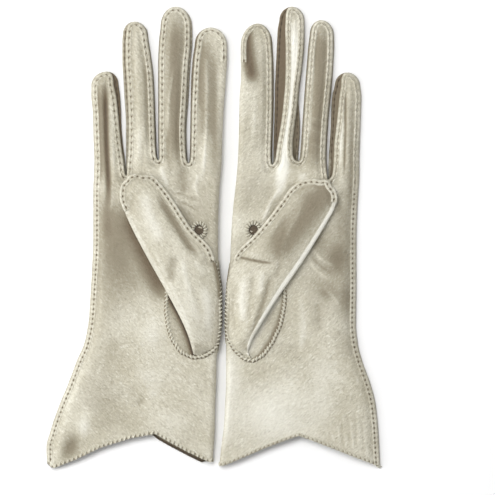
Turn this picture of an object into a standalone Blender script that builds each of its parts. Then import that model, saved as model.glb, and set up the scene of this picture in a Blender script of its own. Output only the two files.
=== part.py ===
# A pair of ladies' ivory kid gauntlet gloves, lying palm up with the fingers pointing along +Y.
# Metres in the file, millimetres in the tables; +Z is up; the gloves lie on z = 0.
import bpy
import math

for old in list(bpy.data.objects):
    bpy.data.objects.remove(old, do_unlink=True)

MM = 0.001

# ---- driving dimensions (mm) ---------------------------------------------------------------
LEATHER = 0.8        # thickness of the kid
GAP = 0.3            # air between two pieces that are sewn together
THREAD = 0.45        # radius of a row of stitching
INSET = 1.25         # raw edge of the leather, measured in from the outside of the stitching
HEIGHT = 9.0         # height of the hand part, lying
CUFF_HEIGHT = 10.5   # the gauntlet stands a little more open
TIP_HEIGHT = 3.2     # height of a finger at its tip
SHOULDER = 6.0       # how far in the palm starts to drop to the outer seam
HINGE = 50.4         # where the index, middle and ring fingers fold
AXIS_UP = 0.7        # a finger's folding line lies this far above the palm
CENTRE = (-0.306, -0.2255)  # puts the middle of the pair on the origin
THUMB_LOW = 10.5     # underside of the thumb as it lies over the palm
THUMB_TALL = 7.5     # height of the thumb where it leaves its base
THUMB_TIP = 3.4
FOOT = 10.1          # top of the thumb's foot on the palm

# Each glove is written as a right-hand glove: little-finger side at -x, folded side at +x.
# outline: (y, little-finger edge, folded edge).  hem: (share of the width, y).
# fingers: rows of (y, left edge, right edge), then the tip (x, y).
RIGHT = dict(
    sign=1.0, shift=0.0, pinky_hinge=43.7,
    outline=[(-142, -100.6, -0.4), (-127.6, -101.1, 0.6), (-117.8, -98.7, 1.2), (-103.3, -93.8, 1.5),
             (-88.7, -87.8, 2.1), (-74.1, -82.3, 2.4), (-64.4, -78.1, 3.6), (-49.8, -75.3, 5.8),
             (-31.6, -74.1, 5.8), (-16.4, -73.2, 3.6), (-1.2, -72.6, 3.3), (18.2, -72.6, 3.6),
             (37.1, -72.6, 4.6), (52.0, -72.0, 5.5)],
    hem=[(0.0, -137.3), (0.03, -140.3), (0.17, -134.8), (0.32, -127.6), (0.50, -121.6),
         (0.64, -119.1), (0.74, -124.5), (0.87, -130.6), (1.0, -136.1)],
    crotch=[(-51.9, 37.1), (-33.1, 46.5), (-14.7, 44.6)],
    fingers=dict(
        pinky=([(43.7, -72.0, -53.1), (71.7, -72.9, -55.6), (89.9, -74.1, -56.8)], (-64.7, 101.4)),
        ring=([(50.4, -51.9, -33.7), (83.8, -53.6, -35.5), (115.4, -55.0, -38.3)], (-47.7, 131.8)),
        middle=([(50.4, -32.7, -15.5), (89.9, -33.4, -14.6), (123.3, -32.2, -12.5)], (-22.5, 140.9)),
        index=([(50.4, -14.0, 5.5), (89.9, -13.2, 7.3), (114.2, -11.7, 8.8)], (-1.2, 128.2))),
    hole=(-13.5, -34.0, 13.0, 36.0),
    thumb=dict(at=(-22.0, -13.6), along=(-0.466, 0.885),
               rows=[(0.0, -13.4, 17.5), (7.2, -13.1, 16.4), (25.4, -12.8, 13.5), (43.6, -12.5, 9.4)],
               tip=(57.0, -1.8)))
LEFT = dict(
    sign=-1.0, shift=0.0, pinky_hinge=42.5,
    outline=[(-142, -102.1, -3.8), (-127.6, -101.4, -5.2), (-113.0, -100.5, -7.0), (-100.2, -99.0, -7.6),
             (-88.7, -96.0, -8.2), (-74.1, -90.8, -8.2), (-64.4, -88.4, -8.2), (-52.8, -87.2, -7.3),
             (-28.5, -87.5, -8.2), (-14.6, -87.5, -10.6), (-1.2, -87.5, -11.2), (18.2, -88.1, -12.5),
             (35.2, -89.0, -14.3), (52.0, -89.3, -15.5)],
    hem=[(0.0, -139.1), (0.13, -134.2), (0.27, -128.8), (0.41, -123.6), (0.51, -120.3),
         (0.60, -123.3), (0.74, -128.5), (0.87, -133.6), (1.0, -138.5)],
    crotch=[(-69.9, 34.6), (-52.8, 46.2), (-36.0, 43.7)],
    fingers=dict(
        pinky=([(42.5, -89.0, -70.5), (68.6, -89.9, -72.3), (86.9, -90.4, -74.1)], (-82.9, 100.8)),
        ring=([(50.4, -69.4, -53.3), (83.8, -72.3, -55.8), (117.2, -73.8, -58.0)], (-67.1, 132.7)),
        middle=([(50.4, -52.4, -37.1), (89.9, -53.8, -38.0), (126.3, -55.6, -39.2)], (-48.3, 140.9)),
        index=([(50.4, -34.9, -15.5), (83.8, -36.1, -16.3), (114.2, -36.4, -17.3)], (-26.7, 130.6))),
    hole=(-28.0, -34.0, 13.5, 36.0),
    thumb=dict(at=(-34.1, -15.4), along=(-0.566, 0.824),
               rows=[(0.0, -16.3, 18.5), (7.2, -15.8, 18.2), (25.4, -14.8, 15.8), (43.6, -13.7, 13.4)],
               tip=(60.6, 0.0)))

IVORY = (0.60, 0.58, 0.48, 1.0)
IVORY_SHADE = (0.52, 0.49, 0.40, 1.0)
STITCH = (0.66, 0.64, 0.53, 1.0)

GLOVES = bpy.data.collections.new("gauntlet_gloves")
CUTTERS = bpy.data.collections.new("cutters")
bpy.context.scene.collection.children.link(GLOVES)
bpy.context.scene.collection.children.link(CUTTERS)


def lerp(a, b, t):
    return a + (b - a) * t


def read(table, at, col=1):
    """Straight-line reading of a table whose first column rises."""
    if at <= table[0][0]:
        return table[0][col]
    for low, high in zip(table, table[1:]):
        if at <= high[0]:
            return lerp(low[col], high[col], (at - low[0]) / (high[0] - low[0]))
    return table[-1][col]


def paint(obj, colour, rough):
    mat = bpy.data.materials.new(obj.name)
    mat.use_nodes = True
    shader = mat.node_tree.nodes["Principled BSDF"]
    shader.inputs["Base Color"].default_value = colour
    shader.inputs["Roughness"].default_value = rough
    shader.inputs["Metallic"].default_value = 0.0
    obj.data.materials.append(mat)


class Glove:
    def __init__(self, name, spec):
        self.name, self.spec, self.sign = name, spec, spec["sign"]

    def put(self, point, pivot):
        """A point of the right-hand pattern in its place (metres), measured from the pivot."""
        return (self.sign * (point[0] - pivot[0]) * MM, (point[1] - pivot[1]) * MM,
                (point[2] - pivot[2]) * MM)

    def place(self, pivot):
        return ((self.sign * pivot[0] + CENTRE[0]) * MM, (pivot[1] + CENTRE[1]) * MM, pivot[2] * MM)

    def sheet(self, part, rows, pivot=(0, 0, 0), closed=False, flip=False, colour=IVORY):
        """Leather of even thickness under a lofted surface; its right side is the one outside."""
        count = len(rows[0])
        points = [self.put(p, pivot) for row in rows for p in row]
        faces = []
        for r in range(len(rows) - 1):
            for c in range(count if closed else count - 1):
                d = (c + 1) % count
                face = (r * count + c, r * count + d, (r + 1) * count + d, (r + 1) * count + c)
                faces.append(face if flip != (self.sign < 0) else face[::-1])
        mesh = bpy.data.meshes.new(self.name + "_" + part)
        mesh.from_pydata(points, [], faces)
        obj = bpy.data.objects.new(self.name + "_" + part, mesh)
        GLOVES.objects.link(obj)
        obj.location = self.place(pivot)
        thick = obj.modifiers.new("leather", 'SOLIDIFY')
        thick.thickness = LEATHER * MM
        thick.offset = -1.0
        paint(obj, colour, 0.55)
        return obj

    def thread(self, part, path, pivot=(0, 0, 0), cyclic=False):
        """A row of stitching: a round tube along its path."""
        curve = bpy.data.curves.new(self.name + "_" + part, 'CURVE')
        curve.dimensions = '3D'
        curve.bevel_depth = THREAD * MM
        curve.bevel_resolution = 1
        curve.use_fill_caps = not cyclic
        spline = curve.splines.new('POLY')
        spline.points.add(len(path) - 1)
        for slot, point in zip(spline.points, path):
            slot.co = (*self.put(point, pivot), 1.0)
        spline.use_cyclic_u = cyclic
        obj = bpy.data.objects.new(self.name + "_" + part, curve)
        GLOVES.objects.link(obj)
        obj.location = self.place(pivot)
        paint(obj, STITCH, 0.7)
        return obj

    def cutter(self, part, outline, low, high):
        """An upright prism used to cut the trank."""
        n = len(outline)
        points = [self.put((x, y, z), (0, 0, 0)) for z in (low, high) for x, y in outline]
        faces = [tuple(range(n))[::-1], tuple(range(n, 2 * n))]
        faces += [(i, (i + 1) % n, n + (i + 1) % n, n + i) for i in range(n)]
        if self.sign < 0:
            faces = [f[::-1] for f in faces]
        mesh = bpy.data.meshes.new(self.name + "_" + part)
        mesh.from_pydata(points, [], faces)
        obj = bpy.data.objects.new(self.name + "_" + part, mesh)
        CUTTERS.objects.link(obj)
        obj.location = self.place((0, 0, 0))
        obj.hide_render = True
        obj.display_type = 'WIRE'
        return obj

    # ---- the hand ---------------------------------------------------------------------------
    def height(self, y):
        return HEIGHT + (CUFF_HEIGHT - HEIGHT) * min(1.0, max(0.0, (-80.0 - y) / 45.0))

    def section(self, left, right, low, high, backs=9, arcs=6, palms=7):
        """Back, fold and palm of a folded sheet seen end on: (x, z), seam at the left."""
        radius = 0.5 * (high - low)
        out = [(lerp(left, right - radius, i / backs), low) for i in range(backs)]
        for i in range(arcs + 1):
            a = math.radians(-90 + 180 * i / arcs)
            out.append((right - radius + radius * math.cos(a), 0.5 * (low + high) + radius * math.sin(a)))
        shoulder = min(SHOULDER, 0.3 * (right - left))
        out += [(lerp(right - radius, left + shoulder, i / palms), high) for i in range(1, palms + 1)]
        drop = low + LEATHER + GAP
        for i in range(1, 5):
            a = math.radians(90 * i / 4)
            out.append((left + shoulder * (1 - math.sin(a)), drop + (high - drop) * math.cos(a)))
        return out

    def hand_row(self, y, inset=INSET, hem=0.0, share=0.0):
        """One row of the hand; hem rows run along the notched hem instead of straight across."""
        left, right = read(self.spec["outline"], y) + inset, read(self.spec["outline"], y, 2)
        row = []
        for x, z in self.section(left, right, 0.0, self.height(y)):
            u = min(1.0, max(0.0, (x - left) / (right - left)))
            at = lerp(read(self.spec["hem"], u) + hem, y, share)
            x2 = lerp(read(self.spec["outline"], at) + inset, read(self.spec["outline"], at, 2), u)
            row.append((x2, at, z))
        return row

    def trank(self):
        top = HINGE - 0.5 * GAP
        rows = [self.hand_row(-100.0, hem=0.8, share=f) for f in (0.0, 0.33, 0.66, 1.0)]
        rows += [self.hand_row(y, share=1.0) for y in (-87.0, -74.0, -62.0, -49.0, -31.0, -16.0, 0.0, 20.0,
                                                       37.0)]
        rows.append(self.hand_row(top, share=1.0))
        obj = self.sheet("trank", rows)
        cutters = []
        names = ["pinky", "ring", "middle", "index"]
        for k, (cx, cy) in enumerate(self.spec["crotch"]):
            xl = self.edge(names[k], 1, INSET)
            xr = self.edge(names[k + 1], 0, INSET)
            cutters.append(self.cutter("crotch_cut_%d" % (k + 1), [
                (cx - 0.5, cy - 1.5), (cx + 0.5, cy - 1.5), (xr, HINGE - 0.3), (xr, 70.0), (xl, 70.0),
                (xl, min(HINGE, self.hinge(names[k])) - 0.3)], -5.0, 20.0))
        xl = self.edge("ring", 0, INSET) - 1.0
        ph = self.spec["pinky_hinge"] - 0.5 * GAP
        cutters.append(self.cutter("pinky_cut", [(-150.0, ph), (xl, ph), (xl, 75.0), (-150.0, 75.0)], -5.0, 20.0))
        hx, hy, rx, ry = self.spec["hole"]
        cutters.append(self.cutter("thumb_cut", [
            (hx + rx * math.cos(math.tau * i / 28), hy + ry * math.sin(math.tau * i / 28)) for i in range(28)],
            5.0, 14.0))
        for c in cutters:
            cut = obj.modifiers.new(c.name, 'BOOLEAN')
            cut.operation, cut.solver, cut.object = 'DIFFERENCE', 'EXACT', c
        # outer side seam and the overcast hem
        path = [(read(self.spec["outline"], y) + THREAD, y, 1.0)
                for y in (-134, -127.6, -117.8, -103.3, -88.7, -74.1, -64.4, -49.8, -31.6, -10, 15, 30)]
        path.append((read(self.spec["outline"], ph) + THREAD, ph - 0.2, 1.0))
        self.thread("side_thread", path)
        row = self.hand_row(-100.0, inset=INSET + 0.4, hem=-0.1, share=0.0)
        mid = []
        for i, (x, y, z) in enumerate(row):
            a, b = row[max(0, i - 1)], row[min(len(row) - 1, i + 1)]
            tx, tz = b[0] - a[0], b[2] - a[2]
            size = math.hypot(tx, tz)
            mid.append((x - 0.4 * tz / size, y, z + 0.4 * tx / size))
        self.thread("hem_thread", [(x, y, max(z, THREAD + 0.01)) for x, y, z in mid[1:-2]])

    # ---- fingers ----------------------------------------------------------------------------
    def hinge(self, finger):
        return self.spec["pinky_hinge"] if finger == "pinky" else HINGE

    def edge(self, finger, side, inset):
        row = self.spec["fingers"][finger][0][0]
        return row[1] + inset if side == 0 else row[2] - inset

    def outline(self, finger, inset, steps=(0.35, 0.6, 0.8, 0.92, 0.985)):
        """Rows (y, left, right) of a finger drawn in by the inset."""
        table, (tx, ty) = self.spec["fingers"][finger]
        last = table[-1]
        half = 0.5 * (last[2] - last[1])
        reach = ty - last[0]
        rows = [(self.hinge(finger) + 0.5 * GAP, read(table, 0) + inset, read(table, 0, 2) - inset)]
        for f in (0.33, 0.66):
            y = lerp(table[0][0], last[0], f)
            rows.append((y, read(table, y) + inset, read(table, y, 2) - inset))
        rows.append((last[0], last[1] + inset, last[2] - inset))
        cx = 0.5 * (last[1] + last[2])
        for q in steps:
            wide = (half - inset) * math.sqrt(1 - q * q)
            mid = lerp(cx, tx, q * q)
            rows.append((last[0] + (reach - inset) * q, mid - wide, mid + wide))
        return rows

    def tall(self, finger, y):
        """Height of a finger at y: full where it leaves the hand, low at the tip."""
        start, end = self.hinge(finger), self.spec["fingers"][finger][1][1]
        t = min(1.0, max(0.0, (y - start) / (end - start)))
        return HEIGHT - (HEIGHT - TIP_HEIGHT) * t * t

    def pivot(self, finger):
        row = self.spec["fingers"][finger][0][0]
        return (0.5 * (row[1] + row[2]), self.hinge(finger), HEIGHT + AXIS_UP)

    def finger(self, finger, sides):
        pivot = self.pivot(finger)
        rows = self.outline(finger, INSET)
        if finger == "index":
            loft = []
            for y, a, b in rows:
                high = self.tall(finger, y)
                radius = 0.5 * high
                b = b + INSET - 0.1
                wide = max(b - radius - a, 0.8)
                line = [(a + wide * i / 4, y, 0.0) for i in range(4)]
                for i in range(7):
                    t = math.radians(-90 + 180 * i / 6)
                    line.append((a + wide + radius * math.cos(t) * min(1.0, (b - a - wide) / radius), y,
                                 radius + radius * math.sin(t)))
                line += [(a + wide * (1 - i / 4), y, high) for i in range(1, 5)]
                loft.append(line)
            self.sheet("index_stall", loft, pivot)
        elif finger == "pinky":
            loft = []
            for y, a, b in rows:
                high = self.tall(finger, y)
                drop = LEATHER + GAP
                shoulder = 0.35 * (b - a)
                line = [(lerp(b, a + shoulder, i / 3), y, high) for i in range(4)]
                for i in range(1, 5):
                    t = math.radians(90 * i / 4)
                    line.append((a + shoulder * (1 - math.sin(t)), y, drop + (high - drop) * math.cos(t)))
                loft.append(line)
            self.sheet("pinky_palm", loft, pivot)
            self.sheet("pinky_back", [[(lerp(a, b, i / 2), y, 0.0) for i in range(3)] for y, a, b in rows], pivot)
        else:
            self.sheet(finger + "_palm", [[(lerp(b, a, i / 2), y, self.tall(finger, y)) for i in range(3)]
                                          for y, a, b in rows], pivot)
            self.sheet(finger + "_back", [[(lerp(a, b, i / 2), y, 0.0) for i in range(3)] for y, a, b in rows],
                       pivot)
        # side strips, upright between the two panels
        for side, other in sides:
            strip = []
            for y, a, b in self.outline(finger, INSET + 0.5, (0.35, 0.6, 0.8, 0.9)):
                x = a if side == 0 else b
                high = self.tall(finger, y)
                ends = (LEATHER + GAP, high - LEATHER - GAP)
                strip.append([(x, y, lerp(ends[0], ends[1], i / 2)) for i in range(3)])
            self.sheet("%s_fourchette_%s" % (finger, other), strip, pivot, flip=(side == 0), colour=IVORY_SHADE)
        # stitching
        run = self.outline(finger, THREAD, (0.3, 0.5, 0.68, 0.82, 0.92, 0.98))
        top = self.spec["fingers"][finger][1]
        lift = lambda y: self.tall(finger, y) - THREAD - 0.05
        ups = [(a, y, y) for y, a, b in run]
        downs = [(b, y, y) for y, a, b in run][::-1]
        tip = [(top[0], top[1] - THREAD, top[1])]
        start = run[0][0] + 0.15
        ups[0], downs[-1] = (ups[0][0], start, start), (downs[-1][0], start, start)
        loop = ups + tip + downs
        if finger in ("middle", "ring"):
            self.thread(finger + "_palm_thread", [(x, y, lift(h)) for x, y, h in loop], pivot)
            self.thread(finger + "_back_thread", [(x, y, THREAD + 0.02) for x, y, h in loop], pivot)
        elif finger == "index":
            palm = [(x, y, lift(h)) for x, y, h in ups + tip]
            back = [(x, y, THREAD + 0.02) for x, y, h in (tip + ups[::-1])]
            self.thread("index_thread", palm + back, pivot)
        else:
            outer = [(x, y, 1.0) for x, y, h in ups]
            inner = []
            span = downs[0][1] - downs[-1][1]
            for x, y, h in downs:
                near = min(1.0, (top[1] - y) / 12.0)
                inner.append((x, y, lerp(1.9, lift(h), near)))
            self.thread("pinky_palm_thread", outer + [(tip[0][0], tip[0][1], 1.5)] + inner, pivot)
            self.thread("pinky_back_thread", [(x, y, THREAD + 0.02) for x, y, h in downs[3:]], pivot)

    def crotch(self, k, left, right):
        cx, cy = self.spec["crotch"][k]
        xl, xr = self.edge(left, 1, INSET + 0.5), self.edge(right, 0, INSET + 0.5)
        yl, yr = self.hinge(left) - 0.5 * GAP, self.hinge(right) - 0.5 * GAP
        path = [(xl, yl), (lerp(xl, cx - 1.2, 0.6), lerp(yl, cy - 2.4, 0.6)), (cx - 1.2, cy - 2.4),
                (cx + 1.2, cy - 2.4), (lerp(xr, cx + 1.2, 0.6), lerp(yr, cy - 2.4, 0.6)), (xr, yr)]
        ends = (LEATHER + GAP, HEIGHT - LEATHER - GAP)
        rows = [[(x, y, lerp(ends[0], ends[1], i / 2)) for i in range(3)] for x, y in path]
        self.sheet("crotch_%s_%s" % (left, right), rows, flip=True, colour=IVORY_SHADE)

    # ---- thumb ------------------------------------------------------------------------------
    def thumb(self):
        spec = self.spec["thumb"]
        (px, py), (dx, dy) = spec["at"], spec["along"]
        size = math.hypot(dx, dy)
        dx, dy = dx / size, dy / size
        pivot = (px, py, THUMB_LOW + THUMB_TALL + 0.3)
        tip_s, tip_w = spec["tip"]

        def spot(s, w, z):
            return (px + dx * s + dy * w, py + dy * s - dx * w, z)

        def rise(s):
            t = min(1.0, max(0.0, s / tip_s))
            return THUMB_LOW + THUMB_TALL - (THUMB_TALL - THUMB_TIP) * t * t

        rows_in = spec["rows"]
        last = rows_in[-1]

        def widths(inset, steps):
            rows = [(0.5 * GAP, rows_in[0][1], rows_in[0][2] - inset)]
            rows += [(s, a, b - inset) for s, a, b in rows_in[1:]]
            half, mid0 = 0.5 * (last[2] - inset - last[1]), 0.5 * (last[1] + last[2] - inset)
            for q in steps:
                wide = half * math.sqrt(1 - q * q)
                mid = lerp(mid0, tip_w, q * q)
                rows.append((last[0] + (tip_s - inset - last[0]) * q, mid - wide, mid + wide))
            return rows

        loft = []
        for s, a, b in widths(INSET, (0.35, 0.6, 0.8, 0.92, 0.975)):
            high = rise(s)
            radius = min(0.5 * (high - THUMB_LOW), 0.3 * (b - a))
            tallness = 0.5 * (high - THUMB_LOW)
            shoulder = 0.3 * (b - a)
            line = [(lerp(b, a + radius, i / 3), THUMB_LOW) for i in range(4)]
            for i in range(1, 6):
                t = math.radians(-90 + 180 * i / 6)
                line.append((a + radius - radius * math.cos(t), THUMB_LOW + tallness + tallness * math.sin(t)))
            line += [(lerp(a + radius, b - shoulder, i / 3), high) for i in range(4)]
            drop = THUMB_LOW + LEATHER + GAP
            for i in range(1, 5):
                t = math.radians(90 * i / 4)
                line.append((b - shoulder * (1 - math.sin(t)), drop + (high - drop) * math.cos(t)))
            loft.append([spot(s, w, z) for w, z in line])
        self.sheet("thumb_stall", loft, pivot, flip=True)
        seam = [(s, b - 0.0) for s, a, b in widths(THREAD, (0.3, 0.5, 0.68, 0.82, 0.92, 0.98))]
        tube = [spot(max(s, 0.5), w, THUMB_LOW + 1.0) for s, w in seam]
        tube.append(spot(tip_s - THREAD, tip_w, THUMB_LOW + 1.0))
        self.thread("thumb_seam_thread", tube, pivot)

        # base: a hood from the oval hole to the mouth of the thumb
        hx, hy, rx, ry = self.spec["hole"]
        rx, ry = rx + 1.2, ry + 1.2
        a, b = rows_in[0][1], rows_in[0][2] - INSET
        n = 28
        mouth, foot, drops = [], [], []
        back = 1.6
        turn = math.atan2(-dx, dy)
        for i in range(n):
            t = math.tau * i / n
            c, s = math.cos(t), math.sin(t)
            c, s = math.copysign(abs(c) ** 0.7, c), math.copysign(abs(s) ** 0.7, s)
            z = lerp(FOOT, THUMB_LOW + THUMB_TALL, 0.5 + 0.5 * s)
            mouth.append(spot(-back, lerp(a, b, 0.5 + 0.5 * c), z))
            ang = turn - t
            ox, oy = math.cos(ang), math.sin(ang)
            r = 1.0 / math.sqrt((ox / rx) ** 2 + (oy / ry) ** 2)
            foot.append((hx + ox * r, hy + oy * r, FOOT))
            ahead = (foot[-1][0] - px) * dx + (foot[-1][1] - py) * dy + back
            drops.append(1.0 if ahead < back - 0.5 else (back - 0.5) / ahead)
        # beyond the mouth the collar must already lie flat under the thumb
        rings = []
        for f in (0.0, 0.08, 0.2, 0.45, 0.7, 1.0):
            ring = []
            for m, q, drop in zip(mouth, foot, drops):
                ring.append((lerp(m[0], q[0], f), lerp(m[1], q[1], f), lerp(m[2], q[2], min(1.0, f / drop))))
            rings.append(ring)
        self.sheet("thumb_base", rings, closed=True, flip=True)
        loop = []
        for i in range(28):
            t = math.tau * i / 28
            loop.append((hx + (rx + 0.75) * math.cos(t), hy + (ry + 0.75) * math.sin(t), HEIGHT + GAP + THREAD))
        self.thread("thumb_hole_thread", loop, cyclic=True)

    def build(self):
        self.trank()
        self.finger("index", [(0, "middle")])
        self.finger("middle", [(0, "ring"), (1, "index")])
        self.finger("ring", [(0, "pinky"), (1, "middle")])
        self.finger("pinky", [(1, "ring")])
        self.crotch(0, "pinky", "ring")
        self.crotch(1, "ring", "middle")
        self.crotch(2, "middle", "index")
        self.thumb()


Glove("right", RIGHT).build()
Glove("left", LEFT).build()
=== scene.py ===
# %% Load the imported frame
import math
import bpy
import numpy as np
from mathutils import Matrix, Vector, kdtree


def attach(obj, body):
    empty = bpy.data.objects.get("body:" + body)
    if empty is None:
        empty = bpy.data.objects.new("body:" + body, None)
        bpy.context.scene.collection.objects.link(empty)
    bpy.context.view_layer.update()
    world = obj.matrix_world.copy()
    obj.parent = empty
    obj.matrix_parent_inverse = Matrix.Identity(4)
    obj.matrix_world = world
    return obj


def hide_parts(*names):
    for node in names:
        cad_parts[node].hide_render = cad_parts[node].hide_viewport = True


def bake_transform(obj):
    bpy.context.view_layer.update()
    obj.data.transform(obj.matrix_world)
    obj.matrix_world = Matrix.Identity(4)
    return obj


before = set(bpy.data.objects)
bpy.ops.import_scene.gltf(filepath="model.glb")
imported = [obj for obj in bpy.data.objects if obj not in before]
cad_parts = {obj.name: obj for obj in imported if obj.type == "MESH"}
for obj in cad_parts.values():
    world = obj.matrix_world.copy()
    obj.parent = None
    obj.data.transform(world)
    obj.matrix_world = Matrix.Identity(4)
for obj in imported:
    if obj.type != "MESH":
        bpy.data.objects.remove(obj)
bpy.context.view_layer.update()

# %% [markdown]
# # A pair of ladies' ivory kid gauntlet gloves
# The gloves lie on their backs with the palms up.  Each one is cut from thin, soft, unlined kid: a
# trank that wraps the hand, with its fold on the forefinger side; finger panels with side strips
# between them; a thumb sewn into an oval hole; and a flared gauntlet with a notched hem.  Every
# seam stands outwards as a small welt of two raw edges with the thread whipped over it.
# Leather like this is made here as fine grids of points whose heights come from simple sums: a
# body, a few folds and dents drawn as strokes, and shallow ripples.  That keeps one smooth sheet
# from cuff to fingertips, which is what the real leather is.

MM = 0.001
CENTRE = (-0.306, -0.2255)      # the pattern's own origin, measured from the pair's middle (mm)

# %% [markdown]
# ## Camera, floor and light
# The pair is seen from straight above.  A long lens high over the table keeps the fingers parallel.
# The light is a studio tent: one broad soft panel overhead, weaker ones at the sides, so the
# folds read as gentle tones and the floor stays almost white.

# %% Camera
VIEW_WIDTH = 300.7 * MM         # how much of the table the picture takes in
AIM = (20.95 * MM, -5.95 * MM)
HIGH = 2.0


def add_camera():
    data = bpy.data.cameras.new("camera")
    cam = bpy.data.objects.new("camera", data)
    bpy.context.scene.collection.objects.link(cam)
    cam.location = (AIM[0], AIM[1], HIGH)
    data.sensor_width = 36.0
    data.lens = 36.0 * (HIGH - 8 * MM) / VIEW_WIDTH
    data.clip_end = 20.0
    bpy.context.scene.camera = cam
    return cam


print("camera:", add_camera().location)
bpy.context.scene.view_settings.view_transform = 'Standard'     # plain colours, so that ivory stays ivory


# %% Light and floor
def area_light(name, place, aim, size, power, colour=(1, 1, 1)):
    data = bpy.data.lights.new(name, 'AREA')
    data.shape, data.size, data.size_y = 'RECTANGLE', size[0], size[1]
    data.energy, data.color = power, colour
    lamp = bpy.data.objects.new(name, data)
    bpy.context.scene.collection.objects.link(lamp)
    lamp.location = place
    lamp.rotation_euler = (Vector(aim) - Vector(place)).to_track_quat('-Z', 'Y').to_euler()
    return lamp


area_light("overhead", (-0.35, 0.40, 1.1), (0.0, 0.0, 0.0), (0.8, 0.6), 10.5)
area_light("left_panel", (-0.9, -0.1, 0.45), (0, 0, 0), (0.4, 0.9), 6.0)
area_light("right_panel", (0.9, 0.2, 0.5), (0, 0, 0), (0.4, 0.9), 1.6)
world = bpy.data.worlds.new("tent")
world.use_nodes = True
world.node_tree.nodes["Background"].inputs["Color"].default_value = (1.0, 1.0, 1.0, 1.0)
world.node_tree.nodes["Background"].inputs["Strength"].default_value = 0.38
bpy.context.scene.world = world


# %% [markdown]
# ## Writing materials as sums
# A material is a sum of patterns.  The class below wraps one socket of a node tree, so that
# `1 - mask * 0.5` adds the Math nodes for us.  Colours are mixed, never added.

# %% Socket sums
class Wire:
    """One output of a node, which can be used in ordinary sums."""
    def __init__(self, sheet, socket):
        self.sheet, self.socket = sheet, socket

    def _math(self, operation, first, second):
        return self.sheet.node('ShaderNodeMath', {"operation": operation}, {0: first, 1: second})

    def __add__(self, other): return self._math('ADD', self, other)
    def __radd__(self, other): return self._math('ADD', other, self)
    def __sub__(self, other): return self._math('SUBTRACT', self, other)
    def __rsub__(self, other): return self._math('SUBTRACT', other, self)
    def __mul__(self, other): return self._math('MULTIPLY', self, other)
    def __rmul__(self, other): return self._math('MULTIPLY', other, self)
    def __truediv__(self, other): return self._math('DIVIDE', self, other)
    def __rtruediv__(self, other): return self._math('DIVIDE', other, self)
    def __pow__(self, other): return self._math('POWER', self, other)


class Sheet:
    """A material under construction."""
    def __init__(self, name):
        self.material = bpy.data.materials.new(name)
        self.material.use_nodes = True
        self.tree = self.material.node_tree
        self.shader = self.tree.nodes["Principled BSDF"]

    def node(self, kind, settings=None, values=None, output=0):
        made = self.tree.nodes.new(kind)
        for key, value in (settings or {}).items():
            setattr(made, key, value)
        for key, value in (values or {}).items():
            self.put(made.inputs[key], value)
        return Wire(self, made.outputs[output])

    def put(self, socket, value):
        if isinstance(value, Wire):
            self.tree.links.new(value.socket, socket)
        else:
            socket.default_value = value

    def mix(self, share, first, second):
        return self.node('ShaderNodeMix', {"data_type": 'RGBA'}, {0: share, 6: first, 7: second}, 2)

    def range(self, value, low, high, to_low=0.0, to_high=1.0, how='SMOOTHSTEP'):
        return self.node('ShaderNodeMapRange', {"interpolation_type": how},
                         {0: value, 1: low, 2: high, 3: to_low, 4: to_high})

    def scaled(self, vector, by):
        return self.node('ShaderNodeVectorMath', {"operation": 'MULTIPLY'}, {0: vector, 1: by})

    def noise(self, vector, scale, detail=2.0, rough=0.5, twist=0.0):
        return self.node('ShaderNodeTexNoise', None,
                         {"Vector": vector, "Scale": scale, "Detail": detail, "Roughness": rough,
                          "Distortion": twist})

    def attribute(self, name, output=2):
        return self.node('ShaderNodeAttribute', {"attribute_name": name}, None, output)


print("socket sums ready")

# %% [markdown]
# ## The leathers and the thread
# Glove kid has a satin face with a very fine pebble, and creases that run across the hand.  Age has
# turned it from white to a warm, slightly green ivory that is browner where it is rubbed; where it is
# folded in, and in the shadows of folds, it is painted darker as shade.  Each point of the sheets
# carries two notes for the material: `place`, where the point lies on the pattern, so the grain stays
# put when a finger folds, and `tone`: painted shade, some wear, and below zero a painted highlight.

# %% Kid
IVORY = (0.520, 0.485, 0.375, 1.0)
IVORY_PALE = (0.660, 0.630, 0.520, 1.0)
DEEP_SHADE_AND_WEAR = (0.150, 0.110, 0.065, 1.0)
DIM = (0.245, 0.212, 0.145, 1.0)
DEEPEST_SHADE = (0.070, 0.050, 0.032, 1.0)
BRIGHT = (0.880, 0.865, 0.780, 1.0)
RAW_EDGE = (0.500, 0.470, 0.385, 1.0)


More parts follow.
